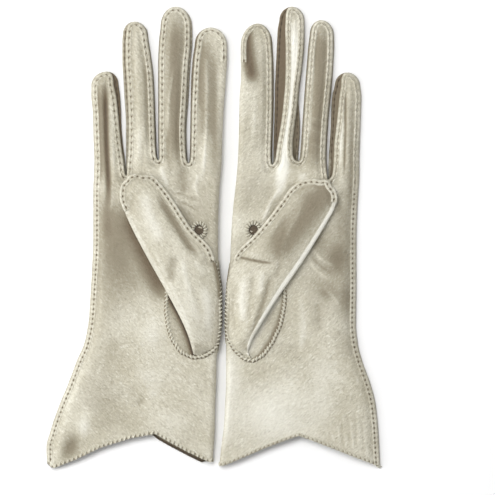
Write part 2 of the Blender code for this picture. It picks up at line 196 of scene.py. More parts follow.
def kid(name, face, grain_and_crease_shade=1.0, rough=0.46):
    s = Sheet(name)
    place = s.attribute("place", 1)
    tone = s.attribute("tone", 2)
    drift = s.noise(place, 0.035, 3.0, 0.55)
    fine = s.noise(place, 0.5, 4.0, 0.6)
    streaks = s.noise(s.scaled(place, (0.55, 0.22, 0.3)), 1.0, 3.0, 0.65)
    colour = s.mix(s.range(drift, 0.3, 0.75), face, IVORY_PALE)
    colour = s.mix(s.range(fine, 0.42, 0.85) * 0.30, colour, DIM)
    colour = s.mix(s.range(streaks, 0.52, 0.8) * 0.30, colour, BRIGHT)
    # pebble, then the creases that run across the hand and those that run aslant
    pebble = s.node('ShaderNodeTexVoronoi', {"feature": 'F1'}, {"Vector": place, "Scale": 1.15}, 0)
    across = s.noise(s.scaled(place, (0.16, 0.62, 0.3)), 1.0, 4.0, 0.62, 0.6)
    slant = s.node('ShaderNodeVectorRotate', {"rotation_type": 'Z_AXIS'}, {"Vector": place, "Angle": 0.75})
    aslant = s.noise(s.scaled(slant, (0.14, 0.7, 0.3)), 1.0, 3.0, 0.6, 0.8)
    hair = s.noise(s.scaled(slant, (0.5, 1.5, 0.5)), 1.0, 3.0, 0.7, 0.5)
    # painted shade in the fine hairline and aslant creases and a painted highlight beside them, as the bump
    # alone shows them too faintly
    colour = s.mix(s.range(hair, 0.54, 0.70) * (0.42 * grain_and_crease_shade), colour, DIM)
    colour = s.mix(s.range(hair, 0.46, 0.30) * (0.55 * grain_and_crease_shade), colour, BRIGHT)
    colour = s.mix(s.range(aslant, 0.55, 0.7) * (0.22 * grain_and_crease_shade), colour, DIM)
    # the tone paints shade and some wear, darker in three steps down to the deepest painted shade of stitch
    # holes and deep folds; below zero it is a painted highlight
    shade_and_wear = tone + (hair - 0.5) * 0.8
    for low, high, shade in ((0.0, 1.0, DIM), (1.0, 2.0, DEEP_SHADE_AND_WEAR), (2.0, 3.0, DEEPEST_SHADE), (0.0, -1.0, BRIGHT)):
        colour = s.mix(s.range(shade_and_wear, low, high, 0.0, 0.9, 'LINEAR'), colour, shade)
    s.put(s.shader.inputs["Base Color"], colour)
    s.put(s.shader.inputs["Roughness"], s.range(fine, 0.2, 0.8, rough + 0.02, rough + 0.16))
    s.put(s.shader.inputs["Specular IOR Level"], 0.38)
    s.put(s.shader.inputs["Sheen Weight"], 0.05)
    height = pebble * 0.16 + across * 0.55 + aslant * 0.4 + fine * 0.25 - hair * 0.6
    bump = s.node('ShaderNodeBump', None, {"Strength": 0.9 * grain_and_crease_shade, "Distance": 0.0009, "Height": height})
    s.put(s.shader.inputs["Normal"], bump)
    return s.material


KID = kid("ivory_kid", IVORY)
KID_STRIP = kid("ivory_kid_strips", (0.50, 0.455, 0.35, 1.0), 0.8, 0.55)
KID_EDGE = kid("raw_edge_kid", RAW_EDGE, 0.7, 0.62)


def cotton(name, face):
    s = Sheet(name)
    place = s.attribute("place", 1)
    ply = s.node('ShaderNodeTexWave', {"wave_type": 'BANDS', "bands_direction": 'DIAGONAL'},
                 {"Vector": place, "Scale": 1.1, "Distortion": 1.5, "Detail": 2.0}, 1)
    soil = s.noise(place, 0.25, 3.0, 0.6)
    colour = s.mix(s.range(ply, 0.0, 1.0, 0.0, 0.35), face, DIM)
    colour = s.mix(s.range(soil, 0.45, 0.8, 0.0, 0.55), colour, DIM)
    s.put(s.shader.inputs["Base Color"], colour)
    s.put(s.shader.inputs["Roughness"], s.range(ply, 0.0, 1.0, 0.62, 0.85))
    s.put(s.shader.inputs["Normal"], s.node('ShaderNodeBump', None, {"Strength": 0.5, "Distance": 0.00012,
                                                                      "Height": ply}))
    return s.material


THREAD = cotton("cream_cotton", (0.70, 0.68, 0.57, 1.0))


def plain_floor(name):
    s = Sheet(name)
    place = s.node('ShaderNodeTexCoord', None, None, 3)
    s.put(s.shader.inputs["Base Color"], s.mix(s.noise(place, 3.0), (0.93, 0.93, 0.93, 1),
                                               (0.95, 0.95, 0.95, 1)))
    s.put(s.shader.inputs["Roughness"], 0.9)
    return s.material


print("materials:", [m.name for m in (KID, KID_STRIP, KID_EDGE, THREAD)])

# %% Floor
bpy.ops.mesh.primitive_plane_add(size=6.0, location=(0, 0, -0.00002))
floor = bpy.context.object
floor.name = "floor"
floor.data.materials.append(plain_floor("pale_floor"))

# %% [markdown]
# ## The pattern
# The two gloves are cut alike but have been worn and laid down differently, so each has its own
# tables.  Everything is in millimetres and written as for a right hand: the little finger at the
# left, the fold of the forefinger at the right.  A finger's row is (y, left edge of the back,
# left edge of the palm, right edge of the palm, right edge of the back), then comes its tip.

# %% Pattern tables
RIGHT = dict(
    name="right", sign=1.0,
    outline=[(-142, -100.6, -0.4), (-127.6, -101.1, 0.6), (-117.8, -98.7, 1.2), (-103.3, -93.8, 1.5),
             (-88.7, -87.8, 2.1), (-74.1, -82.3, 2.4), (-64.4, -78.1, 3.6), (-49.8, -75.3, 5.3),
             (-31.6, -74.1, 5.3), (-16.4, -73.2, 3.6), (-1.2, -72.6, 3.3), (18.2, -72.6, 3.6),
             (30.0, -72.6, 4.2)],
    hem=[(0.0, -137.3), (0.03, -140.3), (0.17, -134.8), (0.32, -127.6), (0.50, -121.6),
         (0.64, -119.1), (0.74, -124.5), (0.87, -130.6), (1.0, -136.1)],
    crotch=[(-51.9, 37.1), (-33.1, 46.5), (-14.7, 44.6)],
    fingers=[
        ([(37.7, -72.3, -71.7, -52.8, -52.2), (47.4, -72.0, -71.6, -54.4, -53.5),
          (56.5, -72.3, -71.9, -55.7, -54.7),
          (66.8, -72.6, -72.3, -56.8, -55.6), (76.5, -72.9, -72.6, -57.7, -55.9),
          (86.9, -73.8, -73.3, -58.9, -56.5),
          (92.9, -73.8, -73.2, -60.4, -57.4)], (-64.7, 101.4)),
        ([(44.3, -52.8, -51.9, -34.0, -33.4), (50.4, -52.8, -51.4, -34.6, -34.0),
          (69.2, -52.8, -51.0, -35.5, -34.9),
          (87.5, -53.8, -51.6, -36.1, -35.5), (98.4, -54.4, -52.2, -36.7, -36.1),
          (109.3, -55.0, -52.8, -38.0, -37.4),
          (119.1, -55.0, -52.8, -39.5, -38.9), (123.3, -54.7, -52.5, -40.1, -39.5)], (-47.7, 131.8)),
        ([(47.4, -32.8, -32.2, -16.1, -15.5), (65.6, -33.1, -32.5, -17.0, -16.1),
          (83.8, -33.1, -32.5, -16.1, -14.9),
          (105.7, -33.1, -32.5, -14.9, -13.7), (120.3, -32.5, -31.9, -13.7, -12.5),
          (128.2, -31.6, -31.0, -13.7, -12.5)],
         (-22.5, 140.9)),
        ([(47.4, -14.0, -13.1, 5.5, 5.5), (58.3, -13.7, -12.8, 5.8, 5.8), (77.7, -13.4, -12.5, 6.7, 6.7),
          (94.8, -13.1, -11.8, 7.9, 7.9), (109.3, -12.1, -10.9, 8.8, 8.8), (117.2, -10.9, -9.7, 8.7, 8.7)],
         (-1.2, 128.2))],
    # thumb: pairs of (fold edge, seam edge) from the bottom of the oval to the tip
    thumb=[((-11.5, -70.5), (-8.5, -71.9)), ((-14.5, -60.0), (3.4, -63.5)), ((-19.1, -49.2), (4.9, -51.0)),
           ((-27.6, -33.1), (4.9, -33.0)), ((-38.8, -13.1), (-0.3, -8.3)), ((-48.3, 4.9), (-13.0, 6.1)),
           ((-53.2, 15.8), (-23.4, 22.0)), ((-56.2, 24.5), (-30.6, 32.0)), ((-55.6, 31.5), (-37.5, 38.2)),
           ((-51.8, 36.2), (-43.5, 38.3))],
    thumb_free=4,
    oval=[(-11.8, -72.7), (-4.8, -71.7), (1.2, -67.8), (3.9, -62.0), (4.9, -54.7), (5.2, -43.7), (4.7, -34.6),
          (3.8, -26.1), (2.1, -17.0), (-2.8, -7.5), (-9.8, -0.8), (-13.8, 5.6), (-14.9, -1.2), (-21.0, -12.1),
          (-25.8, -23.1), (-27.8, -34.0), (-28.2, -43.7), (-27.0, -53.5), (-24.3, -62.0), (-19.1, -69.2)],
    pocket=[(-11.8, -72.7), (-19.1, -69.2), (-24.3, -62.0), (-27.0, -53.5), (-28.2, -43.7), (-27.8, -34.0)],
    # painted light on the thumb and strips: shadow beside the thumb's fold and shade along the oval's seam, a
    # highlight on the fold, and shade on each side strip (left, right)
    loop=(-8.2, 4.9), thumb_seam_end=15.8, pocket_shade=(2.6, 0.3), fold_highlight=-0.3,
    strip_shades=[(0, 2.0), (0.3, 0.7), (1.1, 0.4), (1.3, 0)], back_hem=2.4,
    thumb_at=(-22.0, -13.6), thumb_along=(-0.466, 0.885))
LEFT = dict(
    name="left", sign=-1.0,
    outline=[(-142, -102.1, -3.8), (-127.6, -101.4, -5.2), (-113.0, -100.5, -7.0), (-100.2, -99.0, -7.6),
             (-88.7, -96.0, -8.2), (-74.1, -90.8, -8.2), (-64.4, -88.4, -8.2), (-52.8, -87.2, -7.8),
             (-28.5, -87.5, -8.8), (-14.6, -87.5, -10.6), (-1.2, -87.5, -11.2), (18.2, -88.1, -12.5),
             (30.0, -88.8, -13.8)],
    hem=[(0.0, -139.1), (0.13, -134.2), (0.27, -128.8), (0.41, -123.6), (0.51, -120.3),
         (0.60, -123.3), (0.74, -128.5), (0.87, -133.6), (1.0, -138.5)],
    crotch=[(-69.9, 34.6), (-52.8, 46.2), (-36.0, 43.7)],
    fingers=[
        ([(38.3, -89.3, -88.7, -72.9, -70.5), (48.0, -89.3, -88.7, -73.8, -70.8),
          (57.7, -89.6, -89.0, -74.2, -71.4),
          (67.4, -89.9, -89.6, -75.4, -72.0), (76.5, -90.2, -89.9, -76.4, -72.3),
          (86.3, -90.5, -90.2, -77.4, -72.9),
          (92.3, -89.8, -89.3, -78.4, -74.4)], (-81.9, 100.8)),
        ([(48.6, -69.4, -68.6, -54.1, -53.1), (69.2, -70.3, -69.5, -55.6, -54.7),
          (86.3, -71.9, -71.1, -56.8, -55.9),
          (103.9, -73.4, -72.7, -58.2, -57.3), (118.4, -74.0, -73.2, -59.4, -58.5),
          (123.3, -73.8, -73.2, -60.1, -59.2)],
         (-66.1, 132.7)),
        ([(47.4, -51.9, -49.9, -38.3, -37.1), (51.5, -52.1, -48.6, -38.8, -37.1),
          (56.5, -52.5, -48.6, -39.5, -37.2),
          (66.8, -53.1, -49.6, -41.3, -37.5), (76.5, -52.8, -50.9, -42.7, -37.8),
          (83.8, -52.3, -51.7, -43.4, -38.0), (92.3, -53.0, -52.5, -44.2, -38.1),
          (103.9, -54.4, -54.1, -44.6, -38.6), (116.6, -55.7, -55.3, -44.6, -39.2),
          (127.6, -55.9, -55.6, -44.3, -39.8),
          (132.4, -55.8, -55.5, -44.6, -40.7)], (-48.3, 140.9)),
        ([(48.6, -36.1, -35.2, -15.5, -15.5), (69.2, -36.7, -35.8, -16.1, -16.1),
          (86.3, -37.1, -36.1, -16.5, -16.5),
          (98.4, -37.1, -36.1, -17.3, -17.3), (108.1, -36.9, -36.0, -17.3, -17.3),
          (116.6, -36.4, -35.5, -17.3, -17.3)],
         (-27.3, 130.6))],
    thumb=[((-21.0, -70.5), (-24.0, -74.0)), ((-24.0, -62.0), (-11.6, -64.8)), ((-27.9, -55.0), (-8.6, -52.0)),
           ((-39.5, -36.4), (-8.8, -31.0)), ((-46.2, -26.9), (-13.4, -11.2)), ((-55.4, -13.4), (-25.4, 1.8)),
           ((-64.1, 0.6), (-33.1, 10.9)), ((-70.2, 10.9), (-41.0, 21.3)), ((-73.8, 17.6), (-47.7, 30.4)),
           ((-75.6, 24.0), (-54.6, 35.0)), ((-74.6, 28.6), (-61.5, 36.0)), ((-71.4, 32.4), (-66.2, 34.9))],
    thumb_free=4,
    oval=[(-24.6, -74.7), (-19.1, -73.3), (-13.1, -67.4), (-9.1, -60.1), (-8.1, -49.2), (-8.4, -39.5),
          (-9.2, -31.6),
          (-10.4, -24.9), (-12.2, -18.2), (-15.2, -12.1), (-22.4, -4.0), (-28.4, 4.2), (-30.1, 0.0),
          (-36.7, -10.9),
          (-41.6, -22.5), (-44.0, -33.7), (-43.4, -42.5), (-41.0, -53.5), (-36.1, -63.8), (-30.7, -71.1)],
    pocket=[(-24.6, -74.7), (-30.7, -71.1), (-36.1, -63.8), (-41.0, -53.5), (-43.4, -42.5), (-43.6, -36.0)],
    # painted light as for the right glove; here the pocket beside the fold gets a painted highlight
    loop=(-24.9, 4.9), thumb_seam_end=21.0, pocket_shade=(-0.6, 2.2), fold_highlight=-1.3,
    strip_shades=[(0, 1.4), (0.7, 0.8), (1.2, 1.9), (1.1, 0)], back_hem=0.0,
    thumb_at=(-34.1, -15.4), thumb_along=(-0.566, 0.824))
FINGERS = ["pinky", "ring", "middle", "index"]
print("pattern rows:", sum(len(f[0]) for g in (RIGHT, LEFT) for f in g["fingers"]))

# %% [markdown]
# ## Reading a pattern
# A table gives a few measured points; the leather's edge is the smooth curve through them.

# %% Smooth curves and soft noise
def smooth(table, at, col=1):
    """Reads one column of a table at any y, along a smooth curve."""
    ys = np.array([row[0] for row in table], float)
    vs = np.array([row[col] for row in table], float)
    step = np.diff(vs) / np.diff(ys)
    slope = step[[0, -1]]
    if len(step) > 1:        # no steeper than its neighbours allow, so the line never overshoots
        a, b, ha, hb = step[:-1], step[1:], np.diff(ys)[:-1], np.diff(ys)[1:]
        flat = a * b <= 0
        w1, w2 = 2 * hb + ha, hb + 2 * ha
        inner = np.where(flat, 0.0, (w1 + w2) / (w1 / np.where(flat, 1, a) + w2 / np.where(flat, 1, b)))
        slope = np.concatenate([step[:1], inner, step[-1:]])
    at = np.clip(at, ys[0], ys[-1])
    i = np.clip(np.searchsorted(ys, at, side='right') - 1, 0, len(ys) - 2)
    h = ys[i + 1] - ys[i]
    t = (at - ys[i]) / h
    return ((2 * t ** 3 - 3 * t ** 2 + 1) * vs[i] + (t ** 3 - 2 * t ** 2 + t) * h * slope[i]
            + (3 * t ** 2 - 2 * t ** 3) * vs[i + 1] + (t ** 3 - t ** 2) * h * slope[i + 1])


def ease(value, low, high):
    t = np.clip((np.asarray(value, float) - low) / (high - low), 0.0, 1.0)
    return t * t * (3 - 2 * t)


def ripple(x, y, long, short, angle, seed):
    """Soft noise between -1 and 1, stretched to long x short mm and turned by an angle."""
    table = np.random.default_rng(seed).uniform(-1, 1, (128, 128))
    c, s = math.cos(math.radians(angle)), math.sin(math.radians(angle))
    u, v = (x * c + y * s) / long + 300.0, (-x * s + y * c) / short + 300.0
    iu, iv = np.floor(u).astype(int), np.floor(v).astype(int)
    fu, fv = u - iu, v - iv
    fu, fv = fu * fu * (3 - 2 * fu), fv * fv * (3 - 2 * fv)
    pick = lambda a, b: table[(iu + a) % 128, (iv + b) % 128]
    return ((pick(0, 0) * (1 - fu) + pick(1, 0) * fu) * (1 - fv)
            + (pick(0, 1) * (1 - fu) + pick(1, 1) * fu) * fv)


def beside(x, y, line, where=False):
    """How far each point lies from a drawn line, and how far along the line its foot is (0 to 1)."""
    best, along = np.full(np.shape(x), 1e9), np.zeros(np.shape(x))
    lengths = [math.hypot(b[0] - a[0], b[1] - a[1]) for a, b in zip(line, line[1:])]
    gone = 0.0
    for (ax, ay), (bx, by), length in zip(line, line[1:], lengths):
        dx, dy = bx - ax, by - ay
        t = np.clip(((x - ax) * dx + (y - ay) * dy) / (dx * dx + dy * dy + 1e-9), 0, 1)
        d = np.hypot(x - ax - t * dx, y - ay - t * dy)
        along = np.where(d < best, (gone + t * length) / sum(lengths), along)
        best = np.minimum(best, d)
        gone += length
    return (best, along) if where else best


def relief(x, y, strokes, patches):
    """Height and painted shade (below zero, a painted highlight) of all folds (lines with a width) and dents
    (turned ellipses).
    """
    high, painted_shade = np.zeros(np.shape(x)), np.zeros(np.shape(x))
    for line, width, rise, tone in strokes:
        gap, along = beside(x, y, line, True)
        near = np.exp(-(gap / width) ** 2) * ease(np.minimum(along, 1 - along), -0.05, 0.22)
        high, painted_shade = high + rise * near, painted_shade + tone * near
    for cx, cy, rx, ry, angle, rise, tone in patches:
        c, s = math.cos(math.radians(angle)), math.sin(math.radians(angle))
        u, v = ((x - cx) * c + (y - cy) * s) / rx, (-(x - cx) * s + (y - cy) * c) / ry
        near = np.exp(-(u * u + v * v))
        high, painted_shade = high + rise * near, painted_shade + tone * near
    return high, painted_shade


# %% [markdown]
# ## From pattern to points
# The trank and the fingers are four strips side by side.  Below the crotches they share their
# edges, above them each becomes a finger.  A strip's grid has rows across the hand; the forefinger's
# strip goes on round the fold and back underneath.

# %% Pattern reader
HEM_TOP = -100.0        # above this line the rows run straight across
ACROSS = 24             # columns in a strip
ARC = 9                 # columns in half of the fold
BACK_Z = 0.25           # the back, just clear of the table
SIDE_PITCH, FINGER_PITCH, THUMB_PITCH, ROPE_PITCH, HEM_PITCH = 3.0, 4.0, 3.6, 2.4, 2.85     # one stitch, mm
EYE_STITCHES = 15       # round the little sewn eye beside each thumb
FINGERS_START = 30.0    # below this line the outer seam has the shorter stitches
SEAM_DIP = 0.45         # how far the leather sinks under a seam's strip
WELT_IN = 1.2           # a seam's guide line, in from the raw edge


class Pattern:
    def __init__(self, spec):
        self.spec, self.sign, self.name = spec, spec["sign"], spec["name"]
        self.crotch = spec["crotch"]
        self.tips = [f[1] for f in spec["fingers"]]
        self.last = [f[0][-1][0] for f in spec["fingers"]]
        self.tables, self.hem_rows = [], []
        for k, (rows, _) in enumerate(spec["fingers"]):
            sides = {}
            for layer, cl, cr in (("palm", 2, 3), ("back", 1, 4)):
                left, right = [(r[0], r[cl]) for r in rows], [(r[0], r[cr]) for r in rows]
                if k > 0:
                    cx, cy = self.crotch[k - 1]
                    left = [(cy, cx)] + [p for p in left if p[0] > cy + 0.5]
                else:
                    left = [(o[0], o[1] + (0.4 if layer == "palm" else 0.0)) for o in spec["outline"]] + left
                if k < 3:
                    cx, cy = self.crotch[k]
                    right = [(cy, cx)] + [p for p in right if p[0] > cy + 0.5]
                else:
                    right = [(o[0], o[2]) for o in spec["outline"]] + right
                sides[layer] = (left, right)
            self.tables.append(sides)
        self.share = []
        for cx, cy in self.crotch:
            a, b = self.outer(cy), self.fold(cy)
            self.share.append(float((cx - a) / (b - a)))

    def outer(self, y, layer="palm"):
        return smooth(self.tables[0][layer][0], y)

    def fold(self, y):
        return smooth(self.tables[3]["palm"][1], y)

    def edges(self, k, y, layer="palm"):
        """Left and right edge of strip k at y."""
        a, b = self.outer(y, layer), self.fold(y)
        left, right = a, b
        if k > 0:
            left = np.where(y < self.crotch[k - 1][1], a + self.share[k - 1] * (b - a),
                            smooth(self.tables[k][layer][0], y))
        if k < 3:
            right = np.where(y < self.crotch[k][1], a + self.share[k] * (b - a),
                             smooth(self.tables[k][layer][1], y))
        return left, right

    def tip_edges(self, k, q, layer="palm"):
        """Edges of a fingertip at q, from 0 where it starts to round to 1 at its end."""
        left, right = self.edges(k, np.array(self.last[k]), layer)
        half, mid = 0.5 * (right - left), 0.5 * (right + left)
        wide = half * np.sqrt(np.maximum(0.0, 1 - q ** 2.15))
        mid = mid + (self.tips[k][0] - mid) * q ** 2
        return mid - wide, mid + wide, self.last[k] + (self.tips[k][1] - self.last[k]) * q

    def rows(self, k):
        """All rows of a strip: (kind, value) from the hem to the fingertip."""
        out = [("hem", v) for v in np.linspace(0, 1, 36)[:-1]]
        marks = [HEM_TOP] + sorted(c[1] for c in self.crotch) + [60.0]
        for low, high in zip(marks, marks[1:]):
            n = max(1, int(round((high - low) / 0.9)))
            out += [("y", low + (high - low) * i / n) for i in range(n)]
        n = int(round((self.last[k] - 60.0) / 0.9))
        out += [("y", y) for y in np.linspace(60.0, self.last[k], n + 1)]
        out += [("tip", math.sin(a)) for a in np.linspace(0, 1.45, 15)[1:]]
        return out

    def lay(self, k, layer, rows, ts, phis, hem_slip=0.0):
        """Points of a strip: x, y, the tip's q, and the edges."""
        n, m = len(rows), len(ts)
        Y, Q, L, R = (np.zeros((n, m)) for _ in range(4))
        shares = [0.0] + self.share + [1.0]
        # a folded sheet starts on the palm's edge and ends on the back's, where the next back joins it
        turned = 0.5 * (1 - np.cos(phis))
        folded = layer == "palm" and phis[-1] > 3.0
        for i, (kind, value) in enumerate(rows):
            if kind == "hem":
                u = shares[k] + (shares[k + 1] - shares[k]) * ts
                slip = hem_slip * ease(u, 0.60, 0.66) * (1 - ease(u, 0.95, 0.995))
                y = (np.interp(u, *zip(*self.spec["hem"])) - slip) * (1 - value) + HEM_TOP * value
                left, right = self.edges(k, y, layer)
            elif kind == "y":
                y = np.full(m, value)
                left, right = self.edges(k, y, layer)
            else:
                left, right, yy = self.tip_edges(k, value, layer)
                y, left, right = np.full(m, yy), np.full(m, left), np.full(m, right)
                Q[i] = value
            if folded:
                far = self.tip_edges(k, value, "back")[0] if kind == "tip" else self.edges(k, y, "back")[0]
                left = left + (far - left) * turned
            Y[i], L[i], R[i] = y, left, right
        bend = self.bend(k, Y, Q, R - L)
        t, phi = ts[None, :], phis[None, :]
        X = L + (R - bend - L) * t + bend * np.sin(phi)
        return X, Y, Q, L, R

    def bend(self, k, Y, Q, wide):
        """Radius of the fold down the forefinger's side; the other strips have none."""
        if k < 3:
            return np.zeros(np.shape(Y))
        radius = np.interp(Y, [-140, -100, 0, 60, self.last[3]], [2.6, 3.2, 3.7, 3.6, 2.6])
        return np.minimum(radius * (1 - 0.3 * Q), 0.3 * wide)

    # heights ---------------------------------------------------------------------------------
    def hand_height(self, X, Y):
        top = np.interp(Y, [-140, -120, -95, -70, -40, 0, 40, 60], [5.0, 5.8, 6.8, 7.4, 7.8, 7.9, 7.7, 7.6])
        d = np.maximum(0.0, X - self.outer(Y))
        return 2.2 + (top - 2.2) * (1 - np.exp(-(d / 4.5) ** 1.2))

    def finger_height(self, k, t, Y, Q):
        cy = self.crotch[min(k, 2)][1]
        along = np.clip((Y - cy) / (self.tips[k][1] - cy), 0, 1)
        crown = 7.6 - 3.2 * along ** 1.5
        left = (2.3 if k == 0 else 4.6) - (0.2 if k == 0 else 1.6) * along
        right = 4.6 - 1.6 * along
        edge = left + (right - left) * t
        if k == 3:
            shape = 1 - np.abs(np.minimum(t * 1.0, 1.0) - 1.0) ** 2.6
        else:
            shape = 1 - np.abs(2 * t - 1) ** 2.4
        tip = np.sqrt(np.maximum(0.0, 1 - Q ** 3))
        return edge + (crown - edge) * shape * tip

    def palm_height(self, k, X, Y, Q, t):
        """Height of the palm side; strips agree along the edges they share."""
        low = self.crotch[k - 1][1] if k > 0 else self.crotch[0][1]
        high = self.crotch[k][1] if k < 3 else self.crotch[2][1]
        crotch = low + (high - low) * t
        away = ease(Y, crotch, crotch + 13.0)
        z = self.hand_height(X, Y) * (1 - away) + self.finger_height(k, t, Y, Q) * away
        for cx, cy in self.crotch:
            z = z - 1.6 * np.exp(-((X - cx) ** 2 + (Y - cy + 1.0) ** 2) / 14.0) * (1 - 0.6 * away)
        return z


PATTERNS = [Pattern(RIGHT), Pattern(LEFT)]
print("rows in each strip:", [len(PATTERNS[0].rows(k)) for k in range(4)])
